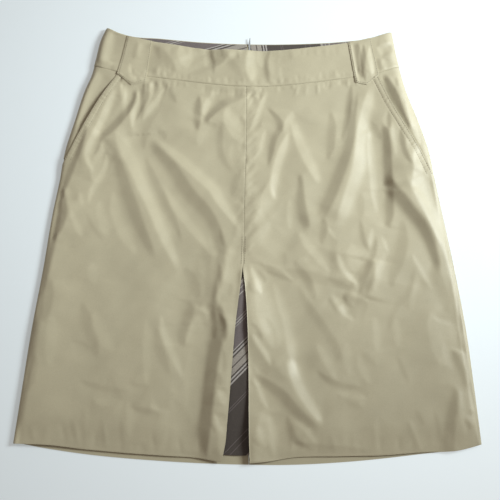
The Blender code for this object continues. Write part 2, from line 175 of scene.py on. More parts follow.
# Creases, given one by one. Each is a band of cloth that leans: it follows its path, is 2 x width
# across, and falls to the left of the way the path runs with the slope that tilt gives. A
# negative tilt falls to the right. It dies out at both ends. A tuple of widths has one for each
# point of the path.
Crease = namedtuple("Crease", "path width tilt")
LEFT_UPPER = [
    # beside the pocket
    Crease(((-178, 206), (-186, 184), (-194, 160), (-204, 136), (-213, 112), (-212, 98), (-203, 80)),
            (2, 4.5, 5.5, 5, 4.5, 3.5, 2), 0.42),
    Crease(((-215, 150), (-221, 128), (-225, 108), (-222, 90)), 4, -0.16),
    Crease(((-172, 203), (-176, 186), (-188, 163), (-200, 140)), 4, -0.12),
    Crease(((-196, 130), (-200, 119), (-205, 105)), 2.2, -0.34),
    Crease(((-190, 134), (-194, 122), (-192, 108)), 4, 0.2),
    Crease(((-195, 114), (-200, 92), (-204, 68)), 7, 0.2),
    Crease(((-193, 121), (-189, 112), (-186, 104)), 1.8, -0.2),
    Crease(((-188, 114), (-189, 92), (-196, 75), (-205, 60), (-211, 38)), 4, 0.3),
    Crease(((-181, 102), (-186, 90), (-190, 80)), 2.5, -0.14),
    # under the tab
    Crease(((-174, 210), (-158, 210), (-140, 212)), 8, -0.5),
    Crease(((-132, 216), (-122, 213), (-108, 211)), 6, -0.4),
    Crease(((-165, 212), (-165, 192), (-163, 176)), 2.6, 0.14),
    Crease(((-171, 208), (-171, 192), (-172, 180)), 2.5, -0.2),
    Crease(((-156, 205), (-155, 188), (-162, 173), (-174, 158), (-186, 144), (-202, 128)),
            (2.5, 4, 5, 6.5, 7, 4), -0.55),
    Crease(((-148, 204), (-149, 184), (-154, 166), (-155, 142)), 4, 0.46),
    Crease(((-137, 216), (-136, 196), (-140, 180), (-147, 166), (-152, 152)), 2.9, -0.44),
    Crease(((-129, 200), (-134, 182), (-143, 164), (-151, 146), (-154, 128)), 3.6, 0.14),
    Crease(((-112, 208), (-119, 190), (-131, 173), (-144, 154)), 4, 0.44),
    Crease(((-125, 214), (-125, 204), (-127, 194)), 3, -0.4),
    Crease(((-112, 210), (-105, 196), (-96, 180)), 3.2, -0.24),
    Crease(((-119, 173), (-133, 156), (-140, 138), (-140, 112)), 5, -0.18),
    Crease(((-123, 145), (-114, 136), (-110, 128)), 4, -0.18),
    # the two long folds that run down to the middle
    Crease(((-166, 150), (-168, 132), (-159, 112), (-149, 90), (-137, 62), (-124, 36), (-114, 12),
            (-104, -12), (-94, -34), (-86, -56)), (4, 9, 10, 9, 8, 8, 8, 7, 5, 3), 0.24),
    Crease(((-182, 122), (-176, 100), (-169, 78), (-162, 56), (-153, 34), (-143, 8), (-132, -14),
            (-119, -38)), (3, 6, 8, 9, 9, 8, 6, 3), -0.19),
    Crease(((-130, 136), (-100, 112), (-80, 95), (-62, 78), (-45, 62), (-34, 44), (-20, 22), (-6, 0)),
            7.5, 0.27),
    Crease(((-136, 130), (-117, 106), (-102, 88), (-90, 68), (-76, 48), (-60, 32), (-47, 13), (-39, -8),
            (-32, -34)), (3, 7, 9, 10, 10, 9, 8, 7, 5), -0.22),
    Crease(((-140, 112), (-130, 84), (-118, 57), (-106, 32), (-93, 6), (-86, -14)), 5.5, -0.2),
    Crease(((-112, 66), (-96, 40), (-80, 18), (-65, 0), (-54, -16), (-44, -32)), 6, 0.18),
    Crease(((-50, -4), (-47, -14), (-45, -26)), 2, 0.14),
    # across the upper middle
    Crease(((-66, 194), (-69, 174), (-69, 158), (-68, 140)), 5.5, -0.46),
    Crease(((-43, 198), (-53, 182), (-59, 160)), 5, 0.28),
    Crease(((4, 198), (-15, 190), (-30, 184), (-42, 176), (-52, 165), (-60, 150)),
            (4, 6, 7, 7, 6, 3), -0.52),
    Crease(((-27, 178), (-24, 158), (-15, 140), (-5, 122)), 8, 0.18),
    Crease(((-34, 158), (-38, 130), (-37, 110), (-29, 94), (-18, 84)), 4.5, -0.2),
    Crease(((-46, 156), (-59, 138), (-66, 118)), 6, 0.12),
    Crease(((-19, 124), (-22, 112), (-21, 100)), 3, 0.14),
    Crease(((-10, 164), (-7, 157), (-3, 147)), 2.4, -0.22),
    Crease(((-9, 92), (-15, 76), (-19, 62), (-22, 48)), 5, -0.18),
]
LEFT_MIDDLE = [
    Crease(((-235, 34), (-226, 16), (-215, -8)), 4, 0.2),
    Crease(((-213, 30), (-206, 12), (-196, -2), (-186, -12)), 2.6, -0.16),
    Crease(((-196, 46), (-190, 18), (-182, -6)), 7, 0.1),
    Crease(((-178, 62), (-173, 32), (-164, 8), (-154, -12), (-142, -30)), 8, 0.14),
    Crease(((-236, 64), (-230, 54), (-227, 42)), 5, -0.14),
    Crease(((-222, 56), (-219, 46), (-218, 36)), 3, 0.16),
    Crease(((-203, -38), (-199, -52), (-200, -68)), 7, 0.08),
    # the left edge rolls over
    Crease(((-216, 150), (-225, 118), (-233, 95), (-241, 70), (-247, 40)), 4.5, -0.48),
    Crease(((-247, 66), (-246, 40), (-246, 20), (-254, -14)), 7, -0.4),
    Crease(((-249, 6), (-257, -24), (-262, -50), (-269, -90)), 5, -0.36),
    Crease(((-265, -70), (-269, -110), (-273, -145), (-277, -195)), 6, -0.14),
    Crease(((-275, -170), (-282, -210), (-286, -255)), 4, -0.2),
    Crease(((-255, -58), (-258, -90), (-262, -120)), 7, -0.18),
    Crease(((-269, -156), (-272, -180), (-276, -206)), 5, -0.18),
    Crease(((-248, 50), (-251, 20), (-255, -14)), 6, -0.2),
    Crease(((-241, 40), (-236, 28), (-241, 16)), 3, -0.2),
    # towards the slit's top
    Crease(((-50, -14), (-60, -42), (-68, -75), (-77, -105), (-84, -130)), (6, 12, 16, 12, 5), -0.17),
    Crease(((-34, -16), (-37, -38), (-43, -62), (-48, -86), (-48, -106)), (4, 8, 10, 9, 5), -0.27),
    Crease(((-9, 14), (-12, -10), (-22, -30), (-28, -48), (-30, -66)), 6, 0.1),
    Crease(((-36, 8), (-34, -6), (-29, -20), (-25, -34)), 3, -0.24),
    Crease(((-37, -38), (-37, -56), (-42, -74), (-46, -94)), 3.6, -0.34),
    Crease(((-38, -58), (-37, -76), (-38, -96)), 2, 0.26),
    Crease(((-84, -44), (-72, -66), (-62, -88)), 8, -0.14),
    Crease(((-61, -30), (-58, -45), (-56, -60)), 5, 0.1),
    Crease(((-12, 28), (-8, 32), (-4, 38)), 1.8, -0.2),
    Crease(((-13, 44), (-9, 40), (-5, 34)), 1.8, 0.2),
    Crease(((-21, 4), (-17, -3), (-11, -8)), 2, -0.14),
    Crease(((-23, -66), (-22, -74), (-25, -84)), 3, -0.18),
]
LEFT_LOWER = [
    # the flap beside the slit
    Crease(((-46, -84), (-42, -102), (-39, -120), (-42, -142), (-45, -160), (-48, -180), (-50, -200),
            (-52, -220), (-54, -240), (-57, -262), (-61, -294)),
            (5, 9, 11, 10, 9, 9, 9, 9, 9, 9, 9), -0.51),
    Crease(((-31, -150), (-29, -168), (-30, -184)), 2.4, -0.25),
    Crease(((-64, -80), (-62, -110), (-60, -150), (-66, -210), (-72, -290)), 12, -0.12),
    Crease(((-15, -66), (-17, -95), (-20, -118), (-20, -142)), 3.6, 0.08),
    Crease(((-20, -150), (-22, -175), (-25, -200), (-27, -230)), 2.4, 0.12),
    Crease(((-36, -200), (-31, -210), (-29, -222)), 4.5, 0.3),
    Crease(((-42, -230), (-35, -243), (-31, -256), (-33, -285)), 4.5, 0.28),
    Crease(((-37, -104), (-30, -118), (-28, -130), (-29, -144)), 2.8, -0.56),
    Crease(((-45, -100), (-46, -118), (-42, -140)), 6, -0.24),
    Crease(((-40, -180), (-36, -188), (-34, -198)), 4, -0.24),
    Crease(((-46, -242), (-43, -248), (-40, -256)), 2, -0.4),
    Crease(((-40, -201), (-32, -202), (-24, -204)), 2.6, -0.24),
    Crease(((-42, -232), (-34, -233), (-26, -233)), 2.6, -0.22),
    Crease(((-34, -247), (-30, -246), (-26, -243)), 2, -0.24),
    # the hollow left of it
    Crease(((-70, -90), (-78, -108), (-84, -126), (-85, -150)), (4, 8, 8, 4), -0.26),
    Crease(((-112, -104), (-106, -130), (-98, -150), (-90, -166), (-80, -192)), 5, 0.24),
    Crease(((-70, -116), (-74, -130), (-78, -145)), 4, 0.1),
    Crease(((-72, -150), (-68, -200), (-66, -250)), 10, 0.1),
    Crease(((-119, -118), (-114, -145), (-108, -165), (-97, -186)), 6, -0.16),
    Crease(((-61, -102), (-56, -112), (-52, -126)), 3.6, -0.16),
    Crease(((-129, -110), (-127, -150), (-126, -198)), 5.5, 0.12),
    Crease(((-146, -224), (-133, -228), (-122, -230), (-110, -229)), 4, -0.3),
    Crease(((-124, -219), (-112, -226), (-96, -229)), 3.2, 0.24),
    Crease(((-98, -198), (-92, -203), (-86, -206)), 3, 0.1),
    Crease(((-92, -214), (-86, -222), (-80, -228)), 4, -0.1),
    Crease(((-150, -194), (-138, -197), (-124, -198)), 3, -0.24),
    # the quiet lower left
    Crease(((-214, -88), (-208, -115), (-200, -138), (-190, -165)), 8, -0.12),
    Crease(((-249, -105), (-248, -140), (-250, -175)), 8, 0.1),
    Crease(((-197, -100), (-186, -130), (-168, -155)), 8, 0.08),
    Crease(((-214, -190), (-180, -202), (-148, -204)), 4, -0.22),
    Crease(((-196, -212), (-178, -217), (-156, -215)), 5, 0.2),
    Crease(((-226, -140), (-212, -144), (-200, -151)), 3, -0.16),
    Crease(((-206, -226), (-206, -248), (-203, -276)), 3.5, -0.12),
    Crease(((-183, -236), (-182, -256), (-180, -276)), 3.5, -0.12),
    Crease(((-158, -238), (-157, -258), (-155, -280)), 3, -0.16),
    Crease(((-150, -214), (-147, -236), (-146, -262)), 4, 0.16),
    Crease(((-222, -236), (-218, -248), (-214, -264)), 4, -0.1),
    Crease(((-120, -266), (-110, -268), (-98, -270)), 4, -0.1),
    Crease(((-146, -268), (-136, -270), (-124, -269)), 3, -0.16),
]
RIGHT_UPPER = [
    Crease(((28, 200), (20, 180), (15, 165), (9, 151), (1, 138)), 3.6, 0.36),
    Crease(((24, 204), (20, 196), (17, 186)), 2.2, -0.36),
    Crease(((13, 200), (4, 190), (0, 178)), 2.2, -0.34),
    Crease(((13, 206), (14, 196), (13, 184)), 2, 0.2),
    Crease(((29, 206), (28, 198), (27, 188)), 2, 0.2),
    Crease(((20, 158), (14, 147), (7, 141), (-2, 135)), 2.2, -0.32),
    Crease(((25, 146), (21, 128), (17, 113), (8, 101)), 3, 0.28),
    Crease(((13, 121), (5, 112), (0, 106), (-1, 94)), 2, -0.36),
    Crease(((9, 124), (4, 118), (-1, 112)), 2, 0.2),
    Crease(((24, 178), (35, 165), (43, 152), (42, 143), (36, 133), (32, 120), (30, 106), (27, 88)),
            4.6, -0.4),
    Crease(((63, 170), (56, 152), (49, 138)), 5.5, 0.2),
    Crease(((57, 142), (49, 117), (42, 95), (38, 78), (35, 60), (38, 42)), 6.5, 0.32),
    Crease(((69, 84), (70, 66), (69, 50), (70, 34), (73, 18), (80, 2)), (2, 4, 6, 7, 7, 4), -0.34),
    Crease(((62, 158), (69, 135), (78, 112), (88, 90), (98, 66)), (4, 7, 8, 7, 3), 0.22),
    Crease(((112, 172), (113, 152), (112, 134), (110, 116), (106, 98)), 6, -0.24),
    Crease(((143, 212), (139, 194), (136, 176), (134, 160), (130, 142), (126, 124)), 4, -0.32),
    Crease(((147, 200), (145, 182), (142, 164)), 2.4, 0.16),
    Crease(((148, 202), (143, 180), (140, 160), (138, 140), (134, 120), (128, 100), (120, 80),
            (111, 58), (102, 38), (91, 12)), (4, 6, 6, 6.5, 7, 7.5, 8, 8.5, 8.5, 6), -0.31),
    # the broad face right of it
    Crease(((174, 212), (169, 195), (165, 178), (160, 160), (156, 140), (154, 120), (152, 98),
            (145, 72), (136, 48), (128, 26), (116, 4)),
            (3, 6, 8, 8, 8.5, 9.5, 10.5, 10, 9, 8, 3), 0.23),
    Crease(((164, 150), (166, 128), (168, 105), (169, 80), (170, 55), (172, 22)), 6, 0.21),
    Crease(((167, 156), (173, 143), (180, 128)), 4, -0.2),
    Crease(((190, 170), (186, 158), (188, 144)), 2.8, 0.2),
    Crease(((181, 152), (185, 140), (186, 124), (186, 108), (186, 92), (187, 76), (188, 60)),
            (2, 4.5, 6, 6.5, 6.5, 6, 5), -0.42),
    Crease(((191, 170), (191, 154), (189, 138)), 2.6, -0.26),
    Crease(((196, 156), (196, 138), (198, 122), (199, 104)), 3.2, 0.22),
    Crease(((206, 146), (207, 130), (209, 116), (213, 104), (220, 92)), 4, -0.46),
    Crease(((213, 132), (224, 108), (234, 84)), 8, 0.12),
    Crease(((211, 84), (216, 70), (224, 58), (234, 46), (243, 20), (251, 0), (258, -20), (264, -50)),
            6, 0.2),
    Crease(((212, 90), (228, 82), (245, 70)), 3.4, -0.14),
]
RIGHT_MIDDLE = [
    Crease(((184, 84), (187, 70), (193, 56), (203, 43), (213, 29), (225, 13), (233, -2), (239, -18),
            (244, -36), (249, -58)), (4, 6, 8, 8.5, 8, 8, 7.5, 6.5, 5, 2.5), -0.43),
    Crease(((238, -40), (245, -60), (252, -84), (258, -108)), 7, -0.14),
    Crease(((186, 62), (186, 42), (186, 24), (183, 6)), (6, 7, 6, 3), -0.36),
    # the broad bright faces beside the right edge and beside the slit's top
    Crease(((224, 126), (229, 106), (231, 86), (231, 64), (238, 40), (248, 14), (257, -20)),
            (4, 7, 10, 13, 11, 8, 4), 0.27),
    Crease(((10, 152), (14, 104), (20, 56), (30, 12)), (10, 16, 18, 10), 0.08),
    Crease(((44, 84), (34, 50), (32, 18), (38, -8), (50, -32)), (6, 14, 20, 20, 8), 0.12),
    # and the hollow between them
    Crease(((84, -22), (98, -44), (116, -64), (134, -86)), (10, 26, 36, 18), -0.16),
    Crease(((158, -32), (153, -58), (146, -86)), (6, 11, 7), -0.27),
    Crease(((12, -43), (36, -51), (60, -55), (84, -60), (110, -68), (138, -76)),
            (3, 5, 7, 8, 7, 4), -0.2),
    Crease(((70, -34), (75, -56), (82, -80)), 7, -0.1),
    Crease(((148, 20), (150, 0), (153, -13), (159, -26)), 3.2, -0.32),
    Crease(((169, 0), (166, -20), (160, -36), (155, -50), (150, -64), (144, -82)), 3.8, -0.34),
    Crease(((165, 8), (162, -6), (159, -20)), 3, 0.2),
    Crease(((174, 0), (180, -12), (185, -30)), 2, 0.22),
    Crease(((182, -24), (173, -46), (168, -62), (164, -80)), 5.2, 0.16),
    Crease(((204, 22), (203, 0), (200, -18), (196, -34), (188, -54), (184, -76)), 8, -0.16),
    Crease(((214, -26), (224, -45), (232, -60), (240, -76)), 3.4, 0.24),
    Crease(((218, -44), (212, -64), (205, -82), (192, -96), (183, -114), (180, -134)), 3.8, -0.16),
    Crease(((223, -58), (217, -78), (210, -102)), 4.4, 0.14),
    Crease(((150, 56), (148, 38), (150, 20)), 5.5, -0.14),
    # right of the seam, above the slit
    Crease(((26, 70), (16, 55), (5, 45), (-3, 36)), 3.2, -0.26),
    Crease(((6, 72), (4, 60), (1, 50)), 4, 0.12),
    Crease(((44, 44), (32, 31), (22, 18)), 4.4, -0.12),
    Crease(((57, 48), (57, 28), (56, 4)), 4.4, 0.2),
    Crease(((32, 14), (16, -8), (4, -32)), 8, 0.12),
    Crease(((20, 34), (14, 22), (10, 8)), 4, 0.1),
    Crease(((2, 24), (5, 29), (8, 34)), 1.8, -0.16),
    Crease(((66, 6), (80, -15), (92, -30), (101, -42), (108, -54)), 6, 0.2),
    Crease(((100, 22), (99, 2), (96, -16)), 5, -0.26),
    Crease(((105, 10), (111, -1), (117, -9)), 2, 0.3),
    Crease(((106, 2), (112, -10), (110, -28), (112, -44)), 5, -0.15),
    Crease(((117, -26), (124, -45), (133, -57), (145, -69)), 4.2, 0.36),
    Crease(((139, -12), (139, -34), (142, -54)), 9, 0.1),
    # out from the slit's top
    Crease(((2, -40), (14, -40), (24, -45)), 1.8, -0.34),
    Crease(((24, -40), (42, -46), (51, -54), (60, -62)), 2, 0.3),
    Crease(((22, -50), (38, -56), (48, -60), (60, -65)), 3, -0.36),
    Crease(((4, -43), (9, -55), (14, -68), (19, -82)), 3.8, 0.42),
    Crease(((12, -48), (19, -57), (25, -66)), 2.4, -0.22),
    Crease(((0, -62), (4, -74), (11, -81)), 2, -0.3),
    Crease(((48, -24), (48, -34), (49, -44)), 3, -0.14),
    Crease(((60, -34), (66, -48), (76, -62), (83, -78), (88, -92)), 5.5, -0.2),
    Crease(((104, -62), (124, -66), (142, -74)), 5, -0.24),
]
RIGHT_LOWER = [
    Crease(((12, -54), (24, -84), (36, -112), (48, -140), (57, -168), (66, -192)),
            (8, 22, 30, 28, 18, 10), 0.2),
    Crease(((12, -52), (18, -76), (24, -104), (32, -130), (38, -155)), (4, 9, 12, 10, 5), 0.13),
    Crease(((32, -60), (44, -88), (52, -112), (56, -134), (58, -160), (62, -186)), 7, 0.16),
    Crease(((3, -117), (12, -126), (20, -142)), 2.2, -0.42),
    Crease(((5, -130), (15, -145), (24, -158), (31, -174)), 3.6, 0.55),
    Crease(((23, -110), (33, -128), (37, -150)), 3.2, -0.16),
    Crease(((2, -170), (6, -175), (11, -180)), 1.7, -0.3),
    Crease(((6, -172), (14, -180), (26, -189)), 2.2, 0.28),
    Crease(((62, -66), (76, -94), (90, -115), (101, -132), (110, -147), (118, -174)),
            (3, 5, 6, 6, 6, 4), -0.17),
    Crease(((108, -80), (117, -90), (124, -103), (138, -116)), 4.2, 0.32),
    Crease(((104, -84), (109, -94), (116, -106)), 2, -0.28),
    Crease(((124, -82), (128, -93), (138, -99)), 2.6, -0.36),
    Crease(((122, -86), (137, -90), (156, -92)), 5, -0.3),
    Crease(((88, -142), (103, -168), (114, -192)), 5.4, 0.18),
    Crease(((126, -140), (129, -165), (130, -185)), 6, 0.1),
    # the long fold down to the hem
    Crease(((10, -184), (26, -197), (41, -209), (53, -222), (64, -234), (77, -244), (92, -251)),
            (4, 6, 7.5, 7.5, 7, 5.5, 3), -0.32),
    Crease(((54, -160), (61, -182), (68, -200), (77, -216), (86, -231), (97, -246)),
            (6, 8, 8, 7, 5.5, 2), 0.3),
    Crease(((6, -184), (14, -198), (20, -212), (27, -228)), 3.6, 0.34),
    Crease(((3, -191), (8, -197), (13, -202)), 1.8, -0.3),
    Crease(((22, -228), (24, -254), (26, -275), (28, -294)), (5, 12, 16, 18), 0.17),
    Crease(((48, -264), (75, -273), (110, -277), (152, -277)), 6, -0.3),
    Crease(((26, -230), (32, -248), (37, -266), (38, -288)), 5.4, 0.18),
    Crease(((12, -244), (18, -258), (24, -272)), 4.4, 0.2),
    Crease(((56, -238), (70, -247), (79, -256), (86, -270)), 3.8, 0.28),
    Crease(((49, -232), (54, -256), (64, -270), (84, -277)), 5, -0.34),
    Crease(((4, -260), (9, -265), (16, -272)), 2.2, -0.24),
    Crease(((6, -268), (14, -274), (22, -281)), 2.2, 0.18),
    Crease(((86, -176), (99, -189), (112, -196), (126, -199), (146, -200)), 4, -0.34),
    Crease(((112, -206), (130, -208), (152, -212)), 4, 0.26),
    Crease(((122, -216), (134, -222), (146, -226)), 4, -0.16),
    # towards the right edge
    Crease(((271, -124), (271, -138), (276, -158)), 3, -0.36),
    Crease(((261, -150), (265, -166), (271, -180), (275, -200)), 5, -0.26),
    Crease(((250, -140), (254, -160), (260, -180)), 5, 0.12),
    Crease(((258, -150), (268, -153), (278, -159)), 2, 0.4),
    Crease(((236, -110), (250, -116), (266, -121)), 2.6, 0.22),
    Crease(((190, -158), (196, -176), (204, -196)), 2.8, -0.18),
    Crease(((163, -108), (167, -132), (165, -156)), 5.4, 0.12),
    Crease(((191, -110), (193, -132), (192, -150)), 4.4, 0.12),
    Crease(((144, -152), (153, -164), (165, -175)), 3.6, -0.12),
    Crease(((141, -158), (148, -178), (156, -196)), 5.4, 0.12),
    Crease(((236, -100), (243, -135), (248, -175)), 10, 0.1),
    Crease(((262, -56), (268, -95), (274, -136)), 6, -0.2),
    Crease(((264, -196), (257, -222), (252, -245), (249, -270), (249, -292)), (3, 6, 7, 8, 8), -0.3),
    Crease(((234, -226), (238, -250), (241, -282)), 3, -0.2),
    Crease(((262, -192), (268, -214), (271, -240), (272, -262)), 4.4, 0.2),
    Crease(((203, -236), (211, -256), (220, -280)), 3.4, 0.22),
    Crease(((199, -240), (206, -260), (214, -280)), 3.4, -0.12),
    Crease(((163, -236), (162, -258), (166, -282)), 3.6, 0.18),
    Crease(((157, -246), (157, -262), (160, -282)), 3, -0.1),
    Crease(((210, -226), (215, -236), (221, -248)), 3, -0.16),
    Crease(((270, -236), (275, -245), (280, -252)), 2.2, -0.4),
    Crease(((274, -232), (280, -240), (286, -246)), 2, 0.26),
    Crease(((276, -226), (282, -231), (289, -234)), 1.8, -0.24),
]
# The side seam shows as a groove just inside the right edge.
SIDE_GROOVE = [
    Edge(224, 176), Edge(228, 162), Edge(232, 150), Edge(236, 137), Edge(241.5, 116), Edge(245, 98),
    Edge(248.5, 78), Edge(251, 60), Edge(255, 30), Edge(260, 0), Edge(264, -30),
    Edge(267.5, -60), Edge(272, -110), Edge(275, -150), Edge(279, -185), Edge(283, -215), Edge(287.5, -250),
]
FACING_CREASES = [
    Crease(((184, 226), (190, 213), (195, 200), (199, 190), (203.5, 180), (207.5, 170), (212, 160),
            (217, 149), (221, 140)), (1.5, 4, 6, 6.2, 5, 3.8, 2.8, 1.8, 1), -0.64),
    Crease(((203, 219), (203, 212), (205, 203)), 1.8, -0.5),
    Crease(((-198, 200), (-205, 188), (-212, 176), (-217.5, 164), (-224, 150), (-229, 138)),
            (1, 2.2, 3, 2.6, 2, 1), -0.36),
    Crease(((214, 186), (221, 168), (226, 150), (229, 135), (233, 118)), 5, 0.3),
    Crease(((-198, 226), (-209, 205), (-218, 185), (-226, 166), (-233, 146)), (5, 7, 6, 5, 3), 0.26),
]
BAND_CREASES = [
    Crease(((-188, 288), (-191, 272), (-195, 254), (-198, 238)), (4, 8, 9, 5), 0.3),
    Crease(((-130, 268), (-118, 250), (-109, 238), (-98, 224)), 7, -0.2),
    Crease(((-94, 266), (-88, 250), (-80, 232)), 7, 0.16),
    Crease(((-80, 266), (-78, 250), (-76, 238)), 3.5, 0.14),
    Crease(((-58, 266), (-57, 248), (-56, 232)), 3.5, 0.18),
    Crease(((-51, 266), (-50, 250), (-47, 240), (-47, 222)), 2.7, -0.4),
    Crease(((-38, 266), (-36, 254), (-33, 246)), 2.6, -0.28),
    Crease(((-16, 264), (-14, 252), (-13, 244)), 1.8, -0.22),
    Crease(((-32, 252), (-21, 236), (-8, 220)), 6, -0.14),
    Crease(((6, 266), (6, 240), (8, 210)), 8, 0.28),
    Crease(((32, 262), (26, 246), (25, 234), (27, 220), (30, 206)), 3.2, -0.42),
    Crease(((14, 268), (19, 250), (20, 232)), 6, 0.16),
    Crease(((-136, 272), (-133, 250), (-131, 222)), 12, -0.15),
    Crease(((-50, 268), (-44, 252), (-36, 236)), 14, -0.24),
    Crease(((33, 258), (33, 240), (36, 220)), 4.5, 0.14),
    Crease(((45, 262), (44, 248), (43, 238)), 2.4, 0.18),
    Crease(((45, 236), (46, 222), (48, 208)), 2.4, 0.2),
    Crease(((57, 260), (58, 252), (59, 244)), 2.2, -0.16),
    Crease(((-122, 238), (-121, 228), (-120, 216)), 2.4, 0.2),
    Crease(((-113, 236), (-112, 226), (-111, 214)), 2.2, 0.2),
    Crease(((-107, 238), (-106, 228), (-104, 214)), 2.2, 0.2),
    Crease(((-204, 231), (-194, 233), (-184, 237)), 3, -0.5),
    Crease(((178, 262), (188, 264), (200, 270)), 3, -0.5),
    Crease(((184, 248), (192, 254), (202, 258)), 3, 0.4),
    Crease(((178, 246), (180, 238), (182, 226)), 3, -0.34),
    Crease(((186, 246), (187, 238), (190, 228)), 3, 0.34),
    Crease(((184, 228), (194, 230), (206, 236)), 2.6, -0.4),
    Crease(((196, 222), (199, 216), (203, 210)), 3, -0.3),
]
TAB_CREASES = [
    Crease(((149, 270), (152, 250), (154, 232), (157, 214)), (3, 4.5, 4, 2), -0.45),
    Crease(((160, 268), (159, 248), (158, 232), (161, 210)), 3, -0.5),
    Crease(((155, 262), (155, 244), (156, 226)), 2.4, 0.26),
    Crease(((168, 264), (169, 246), (172, 230), (172, 214)), 4.4, 0.36),
    Crease(((-152, 272), (-156, 258), (-158, 244)), 3, -0.2),
    Crease(((-146, 270), (-148, 258), (-150, 246)), 3, 0.16),
    Crease(((-162, 240), (-160, 230), (-159, 216)), 3, 0.2),
]
CREASES = LEFT_UPPER + LEFT_MIDDLE + LEFT_LOWER + RIGHT_UPPER + RIGHT_MIDDLE + RIGHT_LOWER

# Short puckers beside the seams are made by rule. A fold's path has three points.
Fold = namedtuple("Fold", "path width height")
FOLD_STEPS = 6          # pieces of its path between two of its points
FOLD_REACH = 3.2        # it ends this many widths away
# Along the centre-front seam they slant away from it: mid and end are their rise by their reach.
SeamRow = namedtuple("SeamRow", "name start stop step jitter reach height mid end")
CENTRE_ROWS = [
    SeamRow("right", -34, 196, 8.5, 2.5, (9, 20), (0.25, 0.6), 0.55, 0.9),
    SeamRow("left", -30, 190, 15.0, 4.0, (7, 14), (0.2, 0.45), 0.4, 0.8),
]
CENTRE_ROW_INSET = 1.5
CENTRE_ROW_WIDTH = (2.2, 3.4)
# The others stand on an edge, way up or down from it. They lean by millimetres, or by a share of
# their reach where they are scaled, and bow says how much of it they have by their middle.
EdgeRow = namedtuple("EdgeRow", "table way inset start stop step jitter reach lean scaled bow width height")
FRONT_ROWS = [
    EdgeRow(FRONT_SEAM, -1, 0.5, -170, 176, 11.0, 3.5, (7, 20), (-0.35, 0.25), True, 0.5,
            (2.2, 3.6), (0.25, 0.6)),
    EdgeRow(FRONT_HEM, 1, 1.0, -270, 280, 19.0, 7.0, (14, 34), (-0.3, 0.3), True, 0.5,
            (3.0, 5.0), (0.2, 0.45)),
]
BAND_ROWS = [
    EdgeRow(FRONT_SEAM, 1, 0.5, -160, 165, 7.0, 2.5, (5, 15), (-2, 2), False, 0.0,
            (1.8, 2.8), (0.15, 0.4)),
    EdgeRow(FRONT_TOP, -1, 0.0, -120, 130, 12.0, 4.0, (8, 20), (-2, 2), False, 0.0,
            (2.0, 3.2), (0.12, 0.3)),
]

PATH_STEPS = 5          # pieces of a crease's path between two of its points
TAIL = 6.0              # a crease's height comes back over this many widths
FADE = 0.12             # share of a crease's length over which each end dies out
TAPER = 0.34            # and over which it narrows
POINT = 0.35            # share of its width that is left at the ends
REACH = 60.0            # no crease's height comes back over more than this
# A thin crease takes this share of its tilt and a broad one that, by its width.
Strength = namedtuple("Strength", "width share")
THIN = Strength(2.0, 0.6)
BROAD = Strength(10.0, 1.07)
CREST = 12.0            # a crease is crisp along its top
FOOT = 3.2              # and soft along its foot
LEAN = 0.1              # its middle lies this share of its width up from the path
RIPPLE = 0.4            # of the faint unevenness
GROOVE_WIDTH = 1.5
GROOVE_DEPTH = 0.8
GROOVE_Y = (-272.0, -250.0, 140.0, 178.0)
SEAM_FADE = 12.0        # folds die out this near the waist seam
SIDE_FADE = 9.0
FINE_FADE = 3.0         # and small ones this near a side
SLIT_TOP = -47.0
SLIT_FROM = 10.0        # the flaps lift from this far below the slit's top
SLIT_TO = 250.0
Lip = namedtuple("Lip", "lift width")
LIPS = {"left": Lip(1.0, 20.0), "right": Lip(2.2, 46.0)}


def smooth(low, high, value):
    """0 below low, 1 above high, with a soft step between."""
    t = np.clip((value - low) / (high - low), 0.0, 1.0)
    return t * t * (3.0 - 2.0 * t)


def between(limits, value):
    """1 between the two inner limits, 0 beyond the two outer ones."""
    low, low_full, high_full, high = limits
    return smooth(low, low_full, value) * (1.0 - smooth(high_full, high, value))


def through(places, values, at):
    """A smooth curve through the points, carried on straight past its ends."""
    places = np.array(places, float)
    values = np.array(values, float)
    order = np.argsort(places)
    places = places[order]
    values = values[order]
    slopes = np.gradient(values, places)
    at = np.asarray(at, float)
    span = np.clip(np.searchsorted(places, at) - 1, 0, len(places) - 2)
    step = places[span + 1] - places[span]
    raw = (at - places[span]) / step
    t = np.clip(raw, 0.0, 1.0)
    start = values[span] * (1 + 2 * t) * (1 - t) ** 2
    end = values[span + 1] * t * t * (3 - 2 * t)
    leave = slopes[span] * step * t * (1 - t) ** 2
    arrive = slopes[span + 1] * step * t * t * (t - 1)
    beyond = np.where(raw < 0, raw * slopes[span], np.where(raw > 1, (raw - 1) * slopes[span + 1], 0))
    return start + end + leave + arrive + beyond * step


def column(table, name):
    return [getattr(row, name) for row in table]


def side(name, y):
    return through(column(SIDES, "y"), column(SIDES, name), y)


def edge(table, x):
    return through(column(table, "x"), column(table, "y"), x)


def centre(name, y):
    return through(column(CENTRE_FRONT, "y"), column(CENTRE_FRONT, name), y)


def pocket(name, y):
    return through(column(POCKETS[name], "y"), column(POCKETS[name], "x"), y)


def back_seam(x):
    return edge(FRONT_SEAM, x) + BACK_SEAM_RISE * (1.0 - (x / SEAM_HALF) ** 2)


def outward(name):
    return -1.0 if name == "left" else 1.0


def side_distance(x, y):
    return np.minimum(x - side("left", y), side("right", y) - x)


def rolled(x, y):
    """Middle of the front's cloth with no folds: rolled at the sides, settled between."""
    inside = side_distance(x, y)
    tight = between(POCKET_ROLL_Y, y) * (x < 0)
    turn = 1.0 - np.clip(inside / (ROLL_WIDTH + (POCKET_ROLL_WIDTH - ROLL_WIDTH) * tight), 0.0, 1.0)
    rise = (ROLL_TOP_MID - SIDE_SEAM_MID) * np.sqrt(1.0 - turn * turn)
    return SIDE_SEAM_MID + rise - SETTLE * smooth(SETTLE_FROM, SETTLE_TO, inside)


